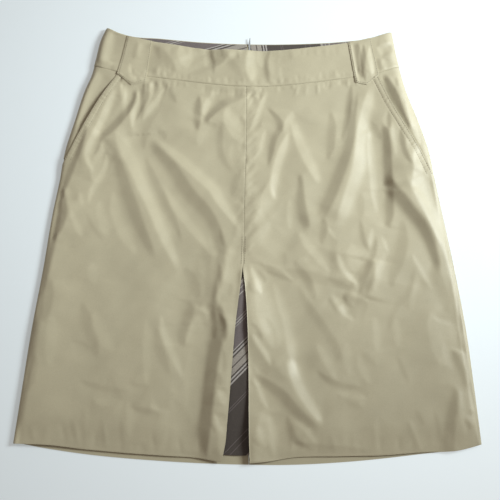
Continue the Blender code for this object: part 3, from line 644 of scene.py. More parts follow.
def near_path(path, reach, x, y):
    """Which places lie in the box around a path, made wider by reach on all sides."""
    path_x, path_y = np.array(path, float).T
    near = (x > path_x.min() - reach) & (x < path_x.max() + reach)
    return near & (y > path_y.min() - reach) & (y < path_y.max() + reach)


def to_path(path, steps, px, py):
    """Distance to a smooth path, where along it, as a share of its length and as a count of its
    points, and side: 1 is left of its way."""
    points = np.array(path, float)
    places = np.arange(len(points))
    fine = np.linspace(0, len(points) - 1, (len(points) - 1) * steps + 1)
    path_x = through(places, points[:, 0], fine)
    path_y = through(places, points[:, 1], fine)
    lengths = np.hypot(np.diff(path_x), np.diff(path_y))
    gone = np.concatenate([[0.0], np.cumsum(lengths)])
    nearest = np.full(px.shape, np.inf)
    along = np.zeros(px.shape)
    count = np.zeros(px.shape)
    hand = np.ones(px.shape)
    for step in range(len(lengths)):
        run_x = path_x[step + 1] - path_x[step]
        run_y = path_y[step + 1] - path_y[step]
        off_x = px - path_x[step]
        off_y = py - path_y[step]
        share = np.clip((off_x * run_x + off_y * run_y) / lengths[step] ** 2, 0.0, 1.0)
        away = np.hypot(off_x - share * run_x, off_y - share * run_y)
        closer = away < nearest
        nearest = np.where(closer, away, nearest)
        along = np.where(closer, (gone[step] + share * lengths[step]) / gone[-1], along)
        count = np.where(closer, (step + share) / steps, count)
        hand = np.where(closer, np.sign(run_x * off_y - run_y * off_x), hand)
    return nearest, along, count, hand


def pucker(total, fold, x, y):
    """Adds one small fold to total: highest midway, dying out at both ends and sides."""
    near = near_path(fold.path, FOLD_REACH * fold.width, x, y)
    if not near.any():
        return
    nearest, along, _, _ = to_path(fold.path, FOLD_STEPS, x[near], y[near])
    total[near] += fold.height * np.exp(-nearest ** 2 / fold.width ** 2) * np.sin(np.pi * along)


def levelled(off, crisp=6.0):
    """A straight slope through 0 that levels out at -1 and 1, the more abruptly the crisper."""
    return off / (1.0 + np.abs(off) ** crisp) ** (1.0 / crisp)


def crease(total, row, x, y):
    """Adds one leaning band to total, with a slow return of the height on either side."""
    widest = np.max(row.width)
    tail = min(TAIL, REACH / widest)
    reach = 2.0 * tail * widest
    near = near_path(row.path, reach, x, y)
    if not near.any():
        return
    nearest, along, count, hand = to_path(row.path, PATH_STEPS, x[near], y[near])
    to_end = np.minimum(along, 1.0 - along)
    if isinstance(row.width, tuple):
        width = np.interp(count, np.arange(len(row.width)), row.width)
    else:
        width = row.width * (POINT + (1.0 - POINT) * smooth(0.0, TAPER, to_end))
    off = hand * nearest / width + LEAN * np.sign(row.tilt)
    crisp = np.where(off * row.tilt < 0.0, CREST, FOOT)
    drop = levelled(off, crisp) - levelled(off / tail)
    fade = smooth(0.0, FADE, to_end) * (1.0 - smooth(0.5 * reach, reach, nearest))
    strength = THIN.share + (BROAD.share - THIN.share) * smooth(THIN.width, BROAD.width, widest)
    total[near] -= strength * row.tilt * width * drop * fade


def groove(x, y):
    """The dip along the right side seam."""
    away = np.abs(x - through(column(SIDE_GROOVE, "y"), column(SIDE_GROOVE, "x"), y))
    return -GROOVE_DEPTH * between(GROOVE_Y, y) * np.exp(-(away / GROOVE_WIDTH) ** 2)


def ripple(x, y):
    """The faint unevenness of cloth that has been worn and pressed."""
    rng = np.random.default_rng(11)
    total = np.zeros(np.shape(x))
    for length, height in ((95, 0.30), (70, 0.26), (52, 0.2), (40, 0.16), (31, 0.12), (24, 0.09),
                           (60, 0.2), (45, 0.16), (33, 0.12), (20, 0.06)):
        angle = rng.uniform(0, pi)
        shift = rng.uniform(0, 2 * pi)
        bend = rng.uniform(-0.6, 0.6)
        place = x * np.cos(angle) + y * np.sin(angle) + bend * length / 6 * np.sin((x - y) / length)
        total = total + height * np.sin(2 * pi * place / length + shift)
    return total


def slit_bulge(x, y):
    """How far the striped cloth stands up between the slit's edges: it fills the upper part."""
    out = np.maximum(centre("left", y) - x, x - centre("right", y))
    return BULGE * between(BULGE_Y, y) * (1.0 - smooth(0.0, BULGE_WIDTH, out))


def pocket_edge(x, y):
    """The topstitched edges of the pockets: two layers thick, puckered, off their facings."""
    total = np.zeros(np.shape(x))
    for name, mouth in MOUTHS.items():
        table = POCKETS[name]
        inward = outward(name) * (pocket(name, y) - x)
        share = np.clip((y - table[-1].y) / (table[0].y - table[-1].y), 0.0, 1.0)
        ends = np.sin(pi * share) ** 2
        total = total + mouth.gape * ends * (1.0 - smooth(0.0, MOUTH_REACH, inward))
        band = 1.0 - smooth(WELT - 0.9, WELT + 0.9, inward)
        total = total + WELT_RISE * band * smooth(0.0, 0.08, share)
        down = y - 0.5 * outward(name) * x
        phase = 2 * pi * down / WELT_PITCH + 1.3 * np.sin(down / 4.1) + 0.8 * np.sin(down / 9.7)
        wave = np.sin(phase) * (0.7 + 0.3 * np.sin(down / 6.3))
        bell = np.exp(-((inward - 0.6 * WELT) / (0.36 * WELT)) ** 2)
        total = total + mouth.pucker * wave * bell * smooth(0.0, 0.1, share)
        total = total - WELT_GROOVE * np.exp(-(inward - WELT) ** 2) * smooth(0.0, 0.1, share)
    return total * (1.0 - smooth(-4.0, 2.0, y - edge(FRONT_SEAM, x)))


def centre_puckers(rng, row):
    """A row of short creases that slant away from the centre-front seam."""
    sign = outward(row.name)
    for y in np.arange(row.start, row.stop, row.step):
        y = y + rng.uniform(-row.jitter, row.jitter)
        reach = sign * rng.uniform(*row.reach)
        height = rng.choice([-1, 1]) * rng.uniform(*row.height)
        x = float(centre(row.name, y)) + sign * CENTRE_ROW_INSET
        path = ((x, y), (x + reach * 0.5, y + reach * row.mid), (x + reach, y + reach * row.end))
        yield Fold(path, rng.uniform(*CENTRE_ROW_WIDTH), height)


def edge_puckers(rng, row):
    """A row of short creases that stand on an edge."""
    for x in np.arange(row.start, row.stop, row.step):
        x = x + rng.uniform(-row.jitter, row.jitter)
        y = float(edge(row.table, x)) + row.way * row.inset
        reach = rng.uniform(*row.reach)
        lean = rng.uniform(*row.lean) * (reach if row.scaled else 1.0)
        path = ((x, y), (x + row.bow * lean, y + row.way * reach / 2), (x + lean, y + row.way * reach))
        width = rng.uniform(*row.width)
        yield Fold(path, width, rng.choice([-1, 1]) * rng.uniform(*row.height))


def front_puckers():
    rng = np.random.default_rng(5)
    for row in CENTRE_ROWS:
        yield from centre_puckers(rng, row)
    for row in FRONT_ROWS:
        yield from edge_puckers(rng, row)


def band_puckers():
    rng = np.random.default_rng(23)
    for row in BAND_ROWS:
        yield from edge_puckers(rng, row)


def relief(x, y):
    """All folds of the front together, and the lift of the slit's two edges."""
    total = np.zeros(np.shape(x))
    for row in CREASES:
        crease(total, row, x, y)
    below = smooth(SLIT_FROM, SLIT_TO, SLIT_TOP - y)
    for name, lip in LIPS.items():
        away = outward(name) * (x - centre(name, y))
        total = total + lip.lift * below * (1.0 - smooth(0.0, lip.width, away)) * (away > 0)
    total = total * smooth(0.0, SEAM_FADE, edge(FRONT_SEAM, x) - y)
    return total + RIPPLE * ripple(x, y)


def over_pocket(x, y):
    """1 where the front lies over a pocket facing, fading to 0 around it."""
    start = POCKET_UNDERLAP + 4
    over = []
    for name, table in POCKETS.items():
        inward = outward(name) * (pocket(name, y) - x)
        low_end = smooth(table[-1].y - POCKET_FADE, table[-1].y, y)
        over.append(low_end * (1.0 - smooth(start, start + POCKET_FADE, inward)))
    near_seam = 1.0 - smooth(0.0, POCKET_SEAM_REACH, edge(FRONT_SEAM, x) - y)
    return np.where(x < 0, *over) * (1.0 - near_seam * (1.0 - POCKET_SEAM_LIFT))


def front_mid(x, y):
    """Middle of the front panels: folds stand on the rolled form and bottom on the shorts."""
    base = rolled(x, y)
    above_hem = y - edge(FRONT_HEM, x)
    low_end = 1.0 - smooth(0.0, INNER_HEM_RISE, above_hem)
    contact = CONTACT_MID - HEM_CONTACT_DROP * low_end + slit_bulge(x, y)
    spare = base - contact
    folded = relief(x, y) + spare - HEM_DROP * (1.0 - smooth(0.0, HEM_REACH, above_hem))
    rested = (folded + np.sqrt(folded ** 2 + SOFT_CONTACT ** 2)) / 2
    fade = smooth(0.0, SIDE_FADE, side_distance(x, y))
    height = base + fade * (rested - spare) + POCKET_LIFT * over_pocket(x, y) + pocket_edge(x, y)
    fine = groove(x, y)
    for fold in front_puckers():
        pucker(fine, fold, x, y)
    return height + fine * smooth(0.0, FINE_FADE, side_distance(x, y))


# ---- cloth --------------------------------------------------------------------------------
# Close steps from an edge: at a sewn one, at the back's rolled sides, and at its middle.
SEAM_STEPS = (0.35, 0.8, 1.4, 2.2, 3.2, 4.6)
CURL_STEPS = (0.5, 1.2, 2.2, 3.6, 5.4, 7.5)
MIDDLE_STEPS = (0.8, 2.0)


def graded(length, step, start=SEAM_STEPS, end=SEAM_STEPS):
    """Shares of a length: even steps, with closer ones near either end."""
    first = max(start, default=0.0)
    last = length - max(end, default=0.0)
    even = np.linspace(first, last, max(2, int(round((last - first) / step)) + 1))
    places = np.concatenate([[0.0], start, even, [length - s for s in end], [length]])
    return np.unique(np.round(places / length, 6))


def panel_grid(rows, columns, low, high, inner, outer):
    """Places between a lower and an upper edge, y(x), and an inner and outer edge, x(y)."""
    v, u = np.meshgrid(rows, columns, indexing="ij")
    x = np.zeros(v.shape)
    y = np.zeros(v.shape)
    for _ in range(12):
        y = low(x) * (1 - v) + high(x) * v
        x = inner(y) * (1 - u) + outer(y) * u
    return x, y


def cut_size(middle):
    """Width, length and area of the cloth laid out flat, in metres, from its middle surface."""
    across = np.linalg.norm(np.diff(middle, axis=1), axis=-1)
    along = np.linalg.norm(np.diff(middle, axis=0), axis=-1)
    first = np.cross(middle[1:, 1:] - middle[:-1, :-1], middle[1:, :-1] - middle[:-1, 1:])
    area = np.linalg.norm(first, axis=-1).sum() / 2
    return across.sum(axis=1).max() * MM, along.sum(axis=0).max() * MM, area * MM * MM


def add_object(name, data):
    made = bpy.data.objects.new(name, data)
    bpy.context.scene.collection.objects.link(made)
    return made


def add_piece(name, mesh, material):
    mesh.shade_smooth()
    mesh.materials.append(material)
    return add_object(name, mesh)


def cloth_shell(name, x, y, z, thickness, material):
    """A closed thin shell around a grid of points on the middle of the cloth."""
    middle = np.stack([x, y, z], axis=-1)
    normal = np.cross(np.gradient(middle, axis=1), np.gradient(middle, axis=0))
    normal = normal / np.linalg.norm(normal, axis=-1, keepdims=True)
    normal = normal * np.sign(normal[..., 2:3])
    turned = np.mean(np.gradient(x, axis=1)) * np.mean(np.gradient(y, axis=0)) < 0
    rows, columns = x.shape
    layer = rows * columns
    half = np.broadcast_to(np.asarray(thickness, float) / 2, x.shape)[..., None]
    points = np.concatenate([
        (middle + normal * half).reshape(-1, 3),
        (middle - normal * half).reshape(-1, 3),
    ]) * MM
    index = np.arange(layer).reshape(rows, columns)
    upper = np.stack([index[:-1, :-1], index[:-1, 1:], index[1:, 1:], index[1:, :-1]], -1).reshape(-1, 4)
    lower = upper[:, ::-1] + layer
    border = np.concatenate([index[0, :], index[1:, -1], index[-1, -2::-1], index[-2:0:-1, 0]])
    following = np.roll(border, -1)
    rim = np.stack([border, border + layer, following + layer, following], -1)
    faces = np.concatenate([upper, lower, rim])
    if turned:
        faces = faces[:, ::-1]
    mesh = bpy.data.meshes.new(name)
    mesh.vertices.add(len(points))
    mesh.vertices.foreach_set("co", points.astype(np.float32).ravel())
    mesh.loops.add(faces.size)
    mesh.loops.foreach_set("vertex_index", faces.astype(np.int32).ravel())
    mesh.polygons.add(len(faces))
    mesh.polygons.foreach_set("loop_start", np.arange(0, faces.size, 4, dtype=np.int32))
    mesh.update(calc_edges=True)
    mesh.validate()
    piece = add_piece(name, mesh, material)
    mesh.set_sharp_from_angle(angle=radians(60))
    return piece, cut_size(middle)


def dress(piece, nodes):
    """The piece rides on the garment's one body and stands for its solids."""
    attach(piece, "root")
    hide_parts(*nodes)


def laid_sheet(made, node):
    piece, (width, length, area) = made
    dress(piece, [node])
    round(min(area, width * length), 5)
    return piece


# ---- materials ----------------------------------------------------------------------------
def new_material(name):
    material = bpy.data.materials.new(name)
    material.use_nodes = True
    tree = material.node_tree
    return material, tree, tree.nodes["Principled BSDF"]


def object_place(tree):
    return tree.nodes.new("ShaderNodeTexCoord").outputs["Object"]


def axes(tree, vector):
    split = tree.nodes.new("ShaderNodeSeparateXYZ")
    tree.links.new(vector, split.inputs[0])
    return split.outputs


def noise(tree, place, scale, detail=2.0):
    node = tree.nodes.new("ShaderNodeTexNoise")
    node.inputs["Scale"].default_value = scale
    node.inputs["Detail"].default_value = detail
    tree.links.new(place, node.inputs["Vector"])
    return node.outputs["Fac"]


def math_node(tree, operation, first, second=None):
    node = tree.nodes.new("ShaderNodeMath")
    node.operation = operation
    for slot, value in zip(node.inputs, (first, second)):
        if value is None:
            continue
        if isinstance(value, (int, float)):
            slot.default_value = value
        else:
            tree.links.new(value, slot)
    return node.outputs[0]


def mix_colour(tree, share, first, second, blend="MIX"):
    node = tree.nodes.new("ShaderNodeMix")
    node.data_type = "RGBA"
    node.blend_type = blend
    for slot, value in ((node.inputs[0], share), (node.inputs[6], first), (node.inputs[7], second)):
        if isinstance(value, bpy.types.NodeSocket):
            tree.links.new(value, slot)
        elif isinstance(value, tuple):
            slot.default_value = (*value, 1.0)
        else:
            slot.default_value = value
    return node.outputs[2]


def ramp(tree, value, low, high, to_low=0.0, to_high=1.0):
    node = tree.nodes.new("ShaderNodeMapRange")
    node.inputs["From Min"].default_value = low
    node.inputs["From Max"].default_value = high
    node.inputs["To Min"].default_value = to_low
    node.inputs["To Max"].default_value = to_high
    tree.links.new(value, node.inputs["Value"])
    return node.outputs["Result"]


def dim(tree, colour, factor):
    """The colour times a factor that varies over the surface."""
    grey = tree.nodes.new("ShaderNodeCombineColor")
    for socket in grey.inputs:
        tree.links.new(factor, socket)
    return mix_colour(tree, 1.0, colour, grey.outputs[0], "MULTIPLY")


def weave(tree, place, across, along, angle):
    """Fine crossing threads as a height: 'across' and 'along' are threads a metre."""
    turn = tree.nodes.new("ShaderNodeMapping")
    turn.inputs["Rotation"].default_value = (0.0, 0.0, angle)
    tree.links.new(place, turn.inputs["Vector"])
    place_x, place_y, _ = axes(tree, turn.outputs["Vector"])
    warp = math_node(tree, "SINE", math_node(tree, "MULTIPLY", place_x, across * 2 * pi))
    weft = math_node(tree, "SINE", math_node(tree, "MULTIPLY", place_y, along * 2 * pi))
    return math_node(tree, "ADD", warp, math_node(tree, "MULTIPLY", weft, 0.6))


def bump(tree, shader, height, strength, distance):
    node = tree.nodes.new("ShaderNodeBump")
    node.inputs["Strength"].default_value = strength
    node.inputs["Distance"].default_value = distance
    tree.links.new(height, node.inputs["Height"])
    tree.links.new(node.outputs["Normal"], shader.inputs["Normal"])


def khaki_cloth(name, light, dark, roughness):
    """Cotton sateen: close threads, a soft sheen and slightly uneven dye."""
    material, tree, shader = new_material(name)
    place = object_place(tree)
    cloudy = ramp(tree, noise(tree, place, 9.0, 3.0), 0.35, 0.65)
    mottle = ramp(tree, noise(tree, place, 60.0), 0.3, 0.7)
    share = math_node(tree, "ADD", math_node(tree, "MULTIPLY", cloudy, 0.6),
                      math_node(tree, "MULTIPLY", mottle, 0.4))
    base = mix_colour(tree, share, dark, light)
    slub = ramp(tree, noise(tree, place, 900.0), 0.3, 0.7, 0.96, 1.04)
    tree.links.new(dim(tree, base, slub), shader.inputs["Base Color"])
    rough = ramp(tree, noise(tree, place, 24.0), 0.3, 0.7, roughness - 0.05, roughness + 0.06)
    tree.links.new(rough, shader.inputs["Roughness"])
    shader.inputs["Sheen Weight"].default_value = 0.18
    shader.inputs["Sheen Roughness"].default_value = 0.45
    shader.inputs["Specular IOR Level"].default_value = 0.45
    threads = weave(tree, place, 1700.0, 1300.0, radians(3))
    fuzz = noise(tree, place, 1500.0)
    height = math_node(tree, "ADD", math_node(tree, "MULTIPLY", threads, 0.25), fuzz)
    bump(tree, shader, height, 0.12, 0.0002)
    return material


STRIPE_REPEAT = 160.0   # square to the stripes
STRIPE_WOBBLE = 1.2     # how far from straight they run
WHOLE_REPEATS = 50.0    # keeps the count of repeats above 0
Stripe = namedtuple("Stripe", "start colour")


def striped_cloth(name, angle, shift):
    """Plain-woven cotton: a group of beige and pale stripes, then taupe, then a dark brown stretch with
    faint lines, repeated; that brown is partly the cloth's own and partly painted shade.
    """
    material, tree, shader = new_material(name)
    taupe = (0.138, 0.115, 0.111)
    beige = (0.285, 0.257, 0.22)
    pale = (0.35, 0.325, 0.30)
    dark = (0.062, 0.050, 0.042)
    # painted shade: this brown, under its faint taupe lines, is set darker than the cloth's own to stand in
    # for the shade low in the slit
    brown_in_painted_shade = (0.056, 0.045, 0.037)
    # each runs from its start to the next one's, in millimetres across the cloth
    stripes = [
        Stripe(0.0, pale), Stripe(1.6, dark), Stripe(3.2, pale), Stripe(5.6, dark),
        Stripe(7.2, beige), Stripe(13.2, dark), Stripe(14.6, beige), Stripe(21.8, dark),
        Stripe(23.3, pale), Stripe(25.6, dark), Stripe(27.0, pale), Stripe(28.4, taupe),
        Stripe(47.0, pale), Stripe(47.7, taupe), Stripe(50.0, pale), Stripe(50.7, taupe),
        Stripe(53.0, pale), Stripe(53.7, taupe), Stripe(73.0, pale), Stripe(73.8, taupe),
        Stripe(78.5, pale), Stripe(79.3, taupe), Stripe(82.0, beige), Stripe(85.5, brown_in_painted_shade),
        Stripe(100.0, taupe), Stripe(100.6, brown_in_painted_shade), Stripe(106.0, taupe), Stripe(106.6, brown_in_painted_shade),
        Stripe(137.0, taupe), Stripe(137.6, brown_in_painted_shade), Stripe(140.0, taupe), Stripe(140.5, brown_in_painted_shade),
    ]
    place = object_place(tree)
    turn = tree.nodes.new("ShaderNodeMapping")
    turn.inputs["Rotation"].default_value = (0.0, 0.0, -angle)
    turn.inputs["Location"].default_value = (0.0, shift, 0.0)
    tree.links.new(place, turn.inputs["Vector"])
    wobble = math_node(tree, "SUBTRACT", noise(tree, place, 30.0), 0.5)
    wobble = math_node(tree, "MULTIPLY", wobble, STRIPE_WOBBLE * MM)
    across = math_node(tree, "ADD", axes(tree, turn.outputs["Vector"])[1], wobble)
    repeats = math_node(tree, "DIVIDE", across, STRIPE_REPEAT * MM)
    share = math_node(tree, "FRACT", math_node(tree, "ADD", repeats, WHOLE_REPEATS))
    colours = tree.nodes.new("ShaderNodeValToRGB")
    colours.color_ramp.interpolation = "CONSTANT"
    elements = colours.color_ramp.elements
    while len(elements) > 1:
        elements.remove(elements[-1])
    for stripe in stripes:
        element = elements.new(stripe.start / STRIPE_REPEAT) if stripe.start > 0 else elements[0]
        element.color = (*stripe.colour, 1.0)
    tree.links.new(share, colours.inputs["Fac"])
    thread_with_painted_shade = ramp(tree, noise(tree, place, 700.0), 0.3, 0.7, 0.86, 1.14)
    tree.links.new(dim(tree, colours.outputs["Color"], thread_with_painted_shade), shader.inputs["Base Color"])
    shader.inputs["Roughness"].default_value = 0.68
    shader.inputs["Sheen Weight"].default_value = 0.1
    height = weave(tree, place, 1300.0, 1300.0, angle)
    bump(tree, shader, height, 0.15, 0.0002)
    return material


def tape_cloth():
    material, tree, shader = new_material("zip_tape_weave")
    place = object_place(tree)
    mottle = ramp(tree, noise(tree, place, 300.0), 0.3, 0.7)
    base = mix_colour(tree, mottle, (0.26, 0.265, 0.265), (0.36, 0.365, 0.365))
    tree.links.new(base, shader.inputs["Base Color"])
    shader.inputs["Roughness"].default_value = 0.75
    bump(tree, shader, weave(tree, place, 900.0, 900.0, 0.0), 0.3, 0.0003)
    return material


def thread_cotton(name, colour):
    material, tree, shader = new_material(name)
    place = object_place(tree)
    mottle = ramp(tree, noise(tree, place, 800.0), 0.3, 0.7)
    base = mix_colour(tree, mottle, tuple(0.88 * c for c in colour), colour)
    tree.links.new(base, shader.inputs["Base Color"])
    shader.inputs["Roughness"].default_value = 0.55
    bump(tree, shader, noise(tree, place, 2500.0), 0.3, 0.0001)
    return material


# ---- pieces -----------------------------------------------------------------------------
EDGE_TURN = 0.5         # a cloth's finished edge rounds down by this much
EDGE_TURN_WIDTH = 1.2
CENTRE_TURN = 0.3       # shares of it: at the centre-front seam,
FLAP_TURN = {"left": 0.1, "right": -0.7}    # and at the slit's edges, the right one turned up


def edge_drop(distance):
    """How far a finished or sewn edge rounds down, by distance from it."""
    return EDGE_TURN * (1.0 - smooth(0.0, EDGE_TURN_WIDTH, distance))


def front_panel(name, khaki, thread_with_painted_shade):
    sign = outward(name)
    inner_of_both = np.maximum if name == "left" else np.minimum

    def outer(y):
        return inner_of_both(side(name, y), pocket(name, y))

    def top(x, y):
        return front_mid(x, y) + PANEL_CLOTH / 2

    x, y = panel_grid(
        graded(500, 1.7),
        graded(240, 1.8),
        lambda x: edge(FRONT_HEM, x),
        lambda x: edge(FRONT_SEAM, x) - GAP / 2,
        lambda y: centre(name, y) + sign * GAP / 2,
        outer,
    )
    z = front_mid(x, y)
    turn = FLAP_TURN[name] + (CENTRE_TURN - FLAP_TURN[name]) * smooth(-20.0, 0.0, y - SLIT_TOP)
    z = z - edge_drop(edge(FRONT_SEAM, x) - y) - turn * edge_drop(sign * (x - centre(name, y)))
    z = z - 0.5 * edge_drop(y - edge(FRONT_HEM, x))
    made = cloth_shell("cloth_front_" + name, x, y, z, PANEL_CLOTH, khaki)
    sewn = stitches("stitches_front_" + name, front_lines(name), top, thread_with_painted_shade)
    dress(sewn, ["front_" + name])
    return laid_sheet(made, "front_" + name)


STITCH = 2.3            # length of a stitch
STITCH_STEP = 3.1       # from one to the next
STITCH_START = 0.6      # from a line's end to its first
THREAD = 0.24           # half its thickness
STITCH_ROUND = 6        # points around it, in rings
STITCH_AT = np.array([0.0, 0.2, 0.5, 0.8, 1.0])     # where the rings are, as shares of its length
STITCH_UP = THREAD * np.array([-0.6, 0.4, 0.7, 0.4, -0.6])
STITCH_THICK = THREAD * np.array([0.5, 0.95, 1.0, 0.95, 0.5])
POCKET_LINES = (1.6, WELT)      # insets of the stitched lines
CENTRE_LINE_INSET = 2.2
CENTRE_LINE_Y = (-4.0, -44.0)


def stitch_places(lines):
    """x and y of the middles of all rings, a row for each stitch."""
    x = []
    y = []
    for line in lines:
        places = np.array(line, float)
        lengths = np.hypot(*np.diff(places, axis=0).T)
        gone = np.concatenate([[0.0], np.cumsum(lengths)])
        for start in np.arange(STITCH_START, gone[-1] - STITCH, STITCH_STEP):
            at = start + STITCH * STITCH_AT
            x.append(np.interp(at, gone, places[:, 0]))
            y.append(np.interp(at, gone, places[:, 1]))
    return np.array(x), np.array(y)


def stitch_faces(first):
    """The faces between the rings of a stitch, and its two ends."""
    faces = []
    for ring in range(first, first + (len(STITCH_AT) - 1) * STITCH_ROUND, STITCH_ROUND):
        for k in range(STITCH_ROUND):
            a = ring + k
            b = ring + (k + 1) % STITCH_ROUND
            faces.append((a, a + STITCH_ROUND, b + STITCH_ROUND, b))
    last = first + (len(STITCH_AT) - 1) * STITCH_ROUND
    faces.append(tuple(range(first, first + STITCH_ROUND)))
    faces.append(tuple(reversed(range(last, last + STITCH_ROUND))))
    return faces


# the thread's material is darkened as painted shade of the stitch holes
def stitches(name, lines, height, thread_with_painted_shade):
    """Rows of short threads along lines over cloth whose top is height(x, y)."""
    x, y = stitch_places(lines)
    z = height(x, y) + STITCH_UP
    run_x = x[:, -1:] - x[:, :1]
    run_y = y[:, -1:] - y[:, :1]
    length = np.hypot(run_x, run_y)
    around = np.arange(STITCH_ROUND) * 2 * pi / STITCH_ROUND
    off = STITCH_THICK[:, None] * np.cos(around)
    up = STITCH_THICK[:, None] * np.sin(around)
    points = np.stack([
        x[..., None] - (run_y / length)[..., None] * off,
        y[..., None] + (run_x / length)[..., None] * off,
        z[..., None] + up,
    ], axis=-1).reshape(-1, 3)
    faces = []
    for first in range(0, len(points), STITCH_ROUND * len(STITCH_AT)):
        faces += stitch_faces(first)
    mesh = bpy.data.meshes.new(name)
    mesh.from_pydata((MM * points).tolist(), [], faces)
    mesh.update()
    return add_piece(name, mesh, thread_with_painted_shade)


def front_lines(name):
    """Lines of stitches on a front panel: the pocket's two, and one beside the centre seam."""
    sign = outward(name)
    table = POCKETS[name]
    y = np.linspace(table[0].y - 2.0, table[-1].y + 1.0, 60)
    lines = [list(zip(pocket(name, y) - sign * inset, y)) for inset in POCKET_LINES]
    y = np.linspace(*CENTRE_LINE_Y, 20)
    lines.append(list(zip(centre(name, y) + sign * CENTRE_LINE_INSET, y)))
    return lines


def back_mid(x, y):
    turn = 1.0 - np.clip(side_distance(x, y) / CURL_WIDTH, 0.0, 1.0)
    return BACK_MID + CURL_RISE * turn ** 2


def back_panel(name, khaki):
    sign = outward(name)
    x, y = panel_grid(
        graded(500, 4.0),
        graded(250, 4.0, start=MIDDLE_STEPS, end=CURL_STEPS),
        lambda x: edge(BACK_HEM, x),
        lambda x: back_seam(x) - GAP / 2,
        lambda y: CENTRE_BACK + sign * GAP / 2 + 0 * y,
        lambda y: side(name, y),
    )
    made = cloth_shell("cloth_back_" + name, x, y, back_mid(x, y), PANEL_CLOTH, khaki)
    return laid_sheet(made, "back_" + name)


def band_relief(x, y):
    total = RIPPLE * ripple(x, y)
    for row in BAND_CREASES:
        crease(total, row, x, y)
    for fold in band_puckers():
        pucker(total, fold, x, y)
    return total * smooth(0.0, SIDE_FADE, side_distance(x, y))


def waist_front(khaki):
    x, y = panel_grid(
        graded(53, 1.6),
        graded(410, 1.8),
        lambda x: edge(FRONT_SEAM, x) + GAP / 2,
        lambda x: edge(FRONT_TOP, x),
        lambda y: side("left", y),
        lambda y: side("right", y),
    )
    z = rolled(x, y) + (BAND_CLOTH - PANEL_CLOTH) / 2 + band_relief(x, y)
    z = z - 1.2 * edge_drop(y - edge(FRONT_SEAM, x)) - edge_drop(edge(FRONT_TOP, x) - y)
    made = cloth_shell("cloth_waist_front", x, y, z, BAND_CLOTH, khaki)
    return laid_sheet(made, "waist_front")


def waist_back(name, khaki):
    sign = outward(name)
    x, y = panel_grid(
        graded(53, 3.0),
        graded(205, 3.0, start=MIDDLE_STEPS, end=CURL_STEPS),
        lambda x: back_seam(x) + GAP / 2,
        lambda x: edge(BACK_TOP, x),
        lambda y: CENTRE_BACK + sign * GAP / 2 + 0 * y,
        lambda y: side(name, y),
    )
    made = cloth_shell("cloth_waist_back_" + name, x, y, back_mid(x, y), PANEL_CLOTH, khaki)
    return laid_sheet(made, "waist_back_" + name)


def facing_back(name, striped, sewn_on=()):
    sign = outward(name)
    x, y = panel_grid(
        graded(60, 2.5),
        graded(195, 2.5),
        lambda x: back_seam(x) + GAP / 2,
        lambda x: edge(BACK_TOP, x) - FACING_DROP,
        lambda y: CENTRE_BACK + sign * (ZIP_WIDTH / 2 + GAP) + 0 * y,
        lambda y: side(name, y) - sign * CURL_WIDTH,
    )
    z = INNER_BACK_MID + 0.2 * np.sin(x / 17.0) * smooth(0, 20, edge(BACK_TOP, x) - y)
    made = cloth_shell("cloth_facing_back_" + name, x, y, z, INNER_CLOTH, striped)
    return laid_sheet(made, "facing_back_" + name)


def pocket_facing(name, khaki):
    sign = outward(name)
    low_end = POCKETS[name][-1].y
    x, y = panel_grid(
        graded(125, 1.8),
        graded(60, 1.8, end=(0.4, 0.9, 1.6, 2.5, 3.6, 5.0, 6.6, 8.4)),
        lambda x: low_end + POCKET_TACK + 0 * x,
        lambda x: edge(FRONT_SEAM, x) - GAP / 2,
        lambda y: pocket(name, y) - sign * POCKET_UNDERLAP,
        lambda y: side(name, y),
    )
    total = np.zeros(x.shape)
    for row in FACING_CREASES:
        crease(total, row, x, y)
    total = total * smooth(0.0, 12.0, edge(FRONT_SEAM, x) - y) * smooth(0.0, 7.0, side_distance(x, y))
    inward = sign * (pocket(name, y) - x)
    z = rolled(x, y) + total - POCKET_SINK * smooth(-3.0, 5.0, inward)
    share = np.clip((y - low_end) / (POCKET_TOP - low_end), 0.0, 1.0)
    z = z - MOUTHS[name].sink * np.sin(pi * share) ** 2
    z = z - edge_drop(edge(FRONT_SEAM, x) - y)
    made = cloth_shell("cloth_pocket_facing_" + name, x, y, z, PANEL_CLOTH, khaki)
    return laid_sheet(made, "pocket_facing_" + name)


def shorts_leaf(name, layer, height, striped):
    sign = outward(name)
    opening = ZIP_WIDTH / 2 + GAP if layer == "back" else GAP / 2

    def inner(y):
        zip_half = GAP / 2 + (opening - GAP / 2) * smooth(ZIP_LOW - 30, ZIP_LOW - 10, y)
        middle = np.interp(y, column(LEGS, "y"), column(LEGS, name))
        to_zip = smooth(0.0, 60.0, y) if layer == "back" else 0.0
        return middle + (CENTRE_BACK - middle) * to_zip + sign * zip_half

    step = 3.0 if layer == "front" else 6.0
    x, y = panel_grid(
        graded(500, step),
        graded(240, step),
        lambda x: edge(FRONT_HEM, x) + INNER_HEM_RISE,
        lambda x: (edge(FRONT_SEAM, x) if layer == "front" else back_seam(x)) - INNER_DROP,
        inner,
        lambda y: side(name, y) - sign * INNER_INSET,
    )
    z = height + 0.1 * np.sin(x / 9.0 + y / 31.0)
    if layer == "front":
        z = z + slit_bulge(x, y)
    node = "shorts_%s_%s" % (layer, name)
    made = cloth_shell("cloth_" + node, x, y, z, INNER_CLOTH, striped)
    return laid_sheet(made, node)


def tab_mid(x, y):
    """Middle of a tab's cloth: it rests on the waistband and on the panel below the seam."""
    over_band = rolled(x, y) + BAND_CLOTH - PANEL_CLOTH / 2 + band_relief(x, y)
    over_panel = front_mid(x, y) + PANEL_CLOTH / 2
    seam = edge(FRONT_SEAM, x)
    below = 1.0 - smooth(-3.0, 2.0, y - seam)
    z = over_band + np.maximum(over_panel - over_band, 0.0) * below
    z = z + np.minimum(over_panel - z, 0.0) * (1.0 - smooth(-16.0, -6.0, y - seam))
    return z + TAB_REST + TAB_CLOTH / 2


def tab_top(x, y):
    return tab_mid(x, y) + 0.6 * TAB_LOFT + TAB_CLOTH / 2


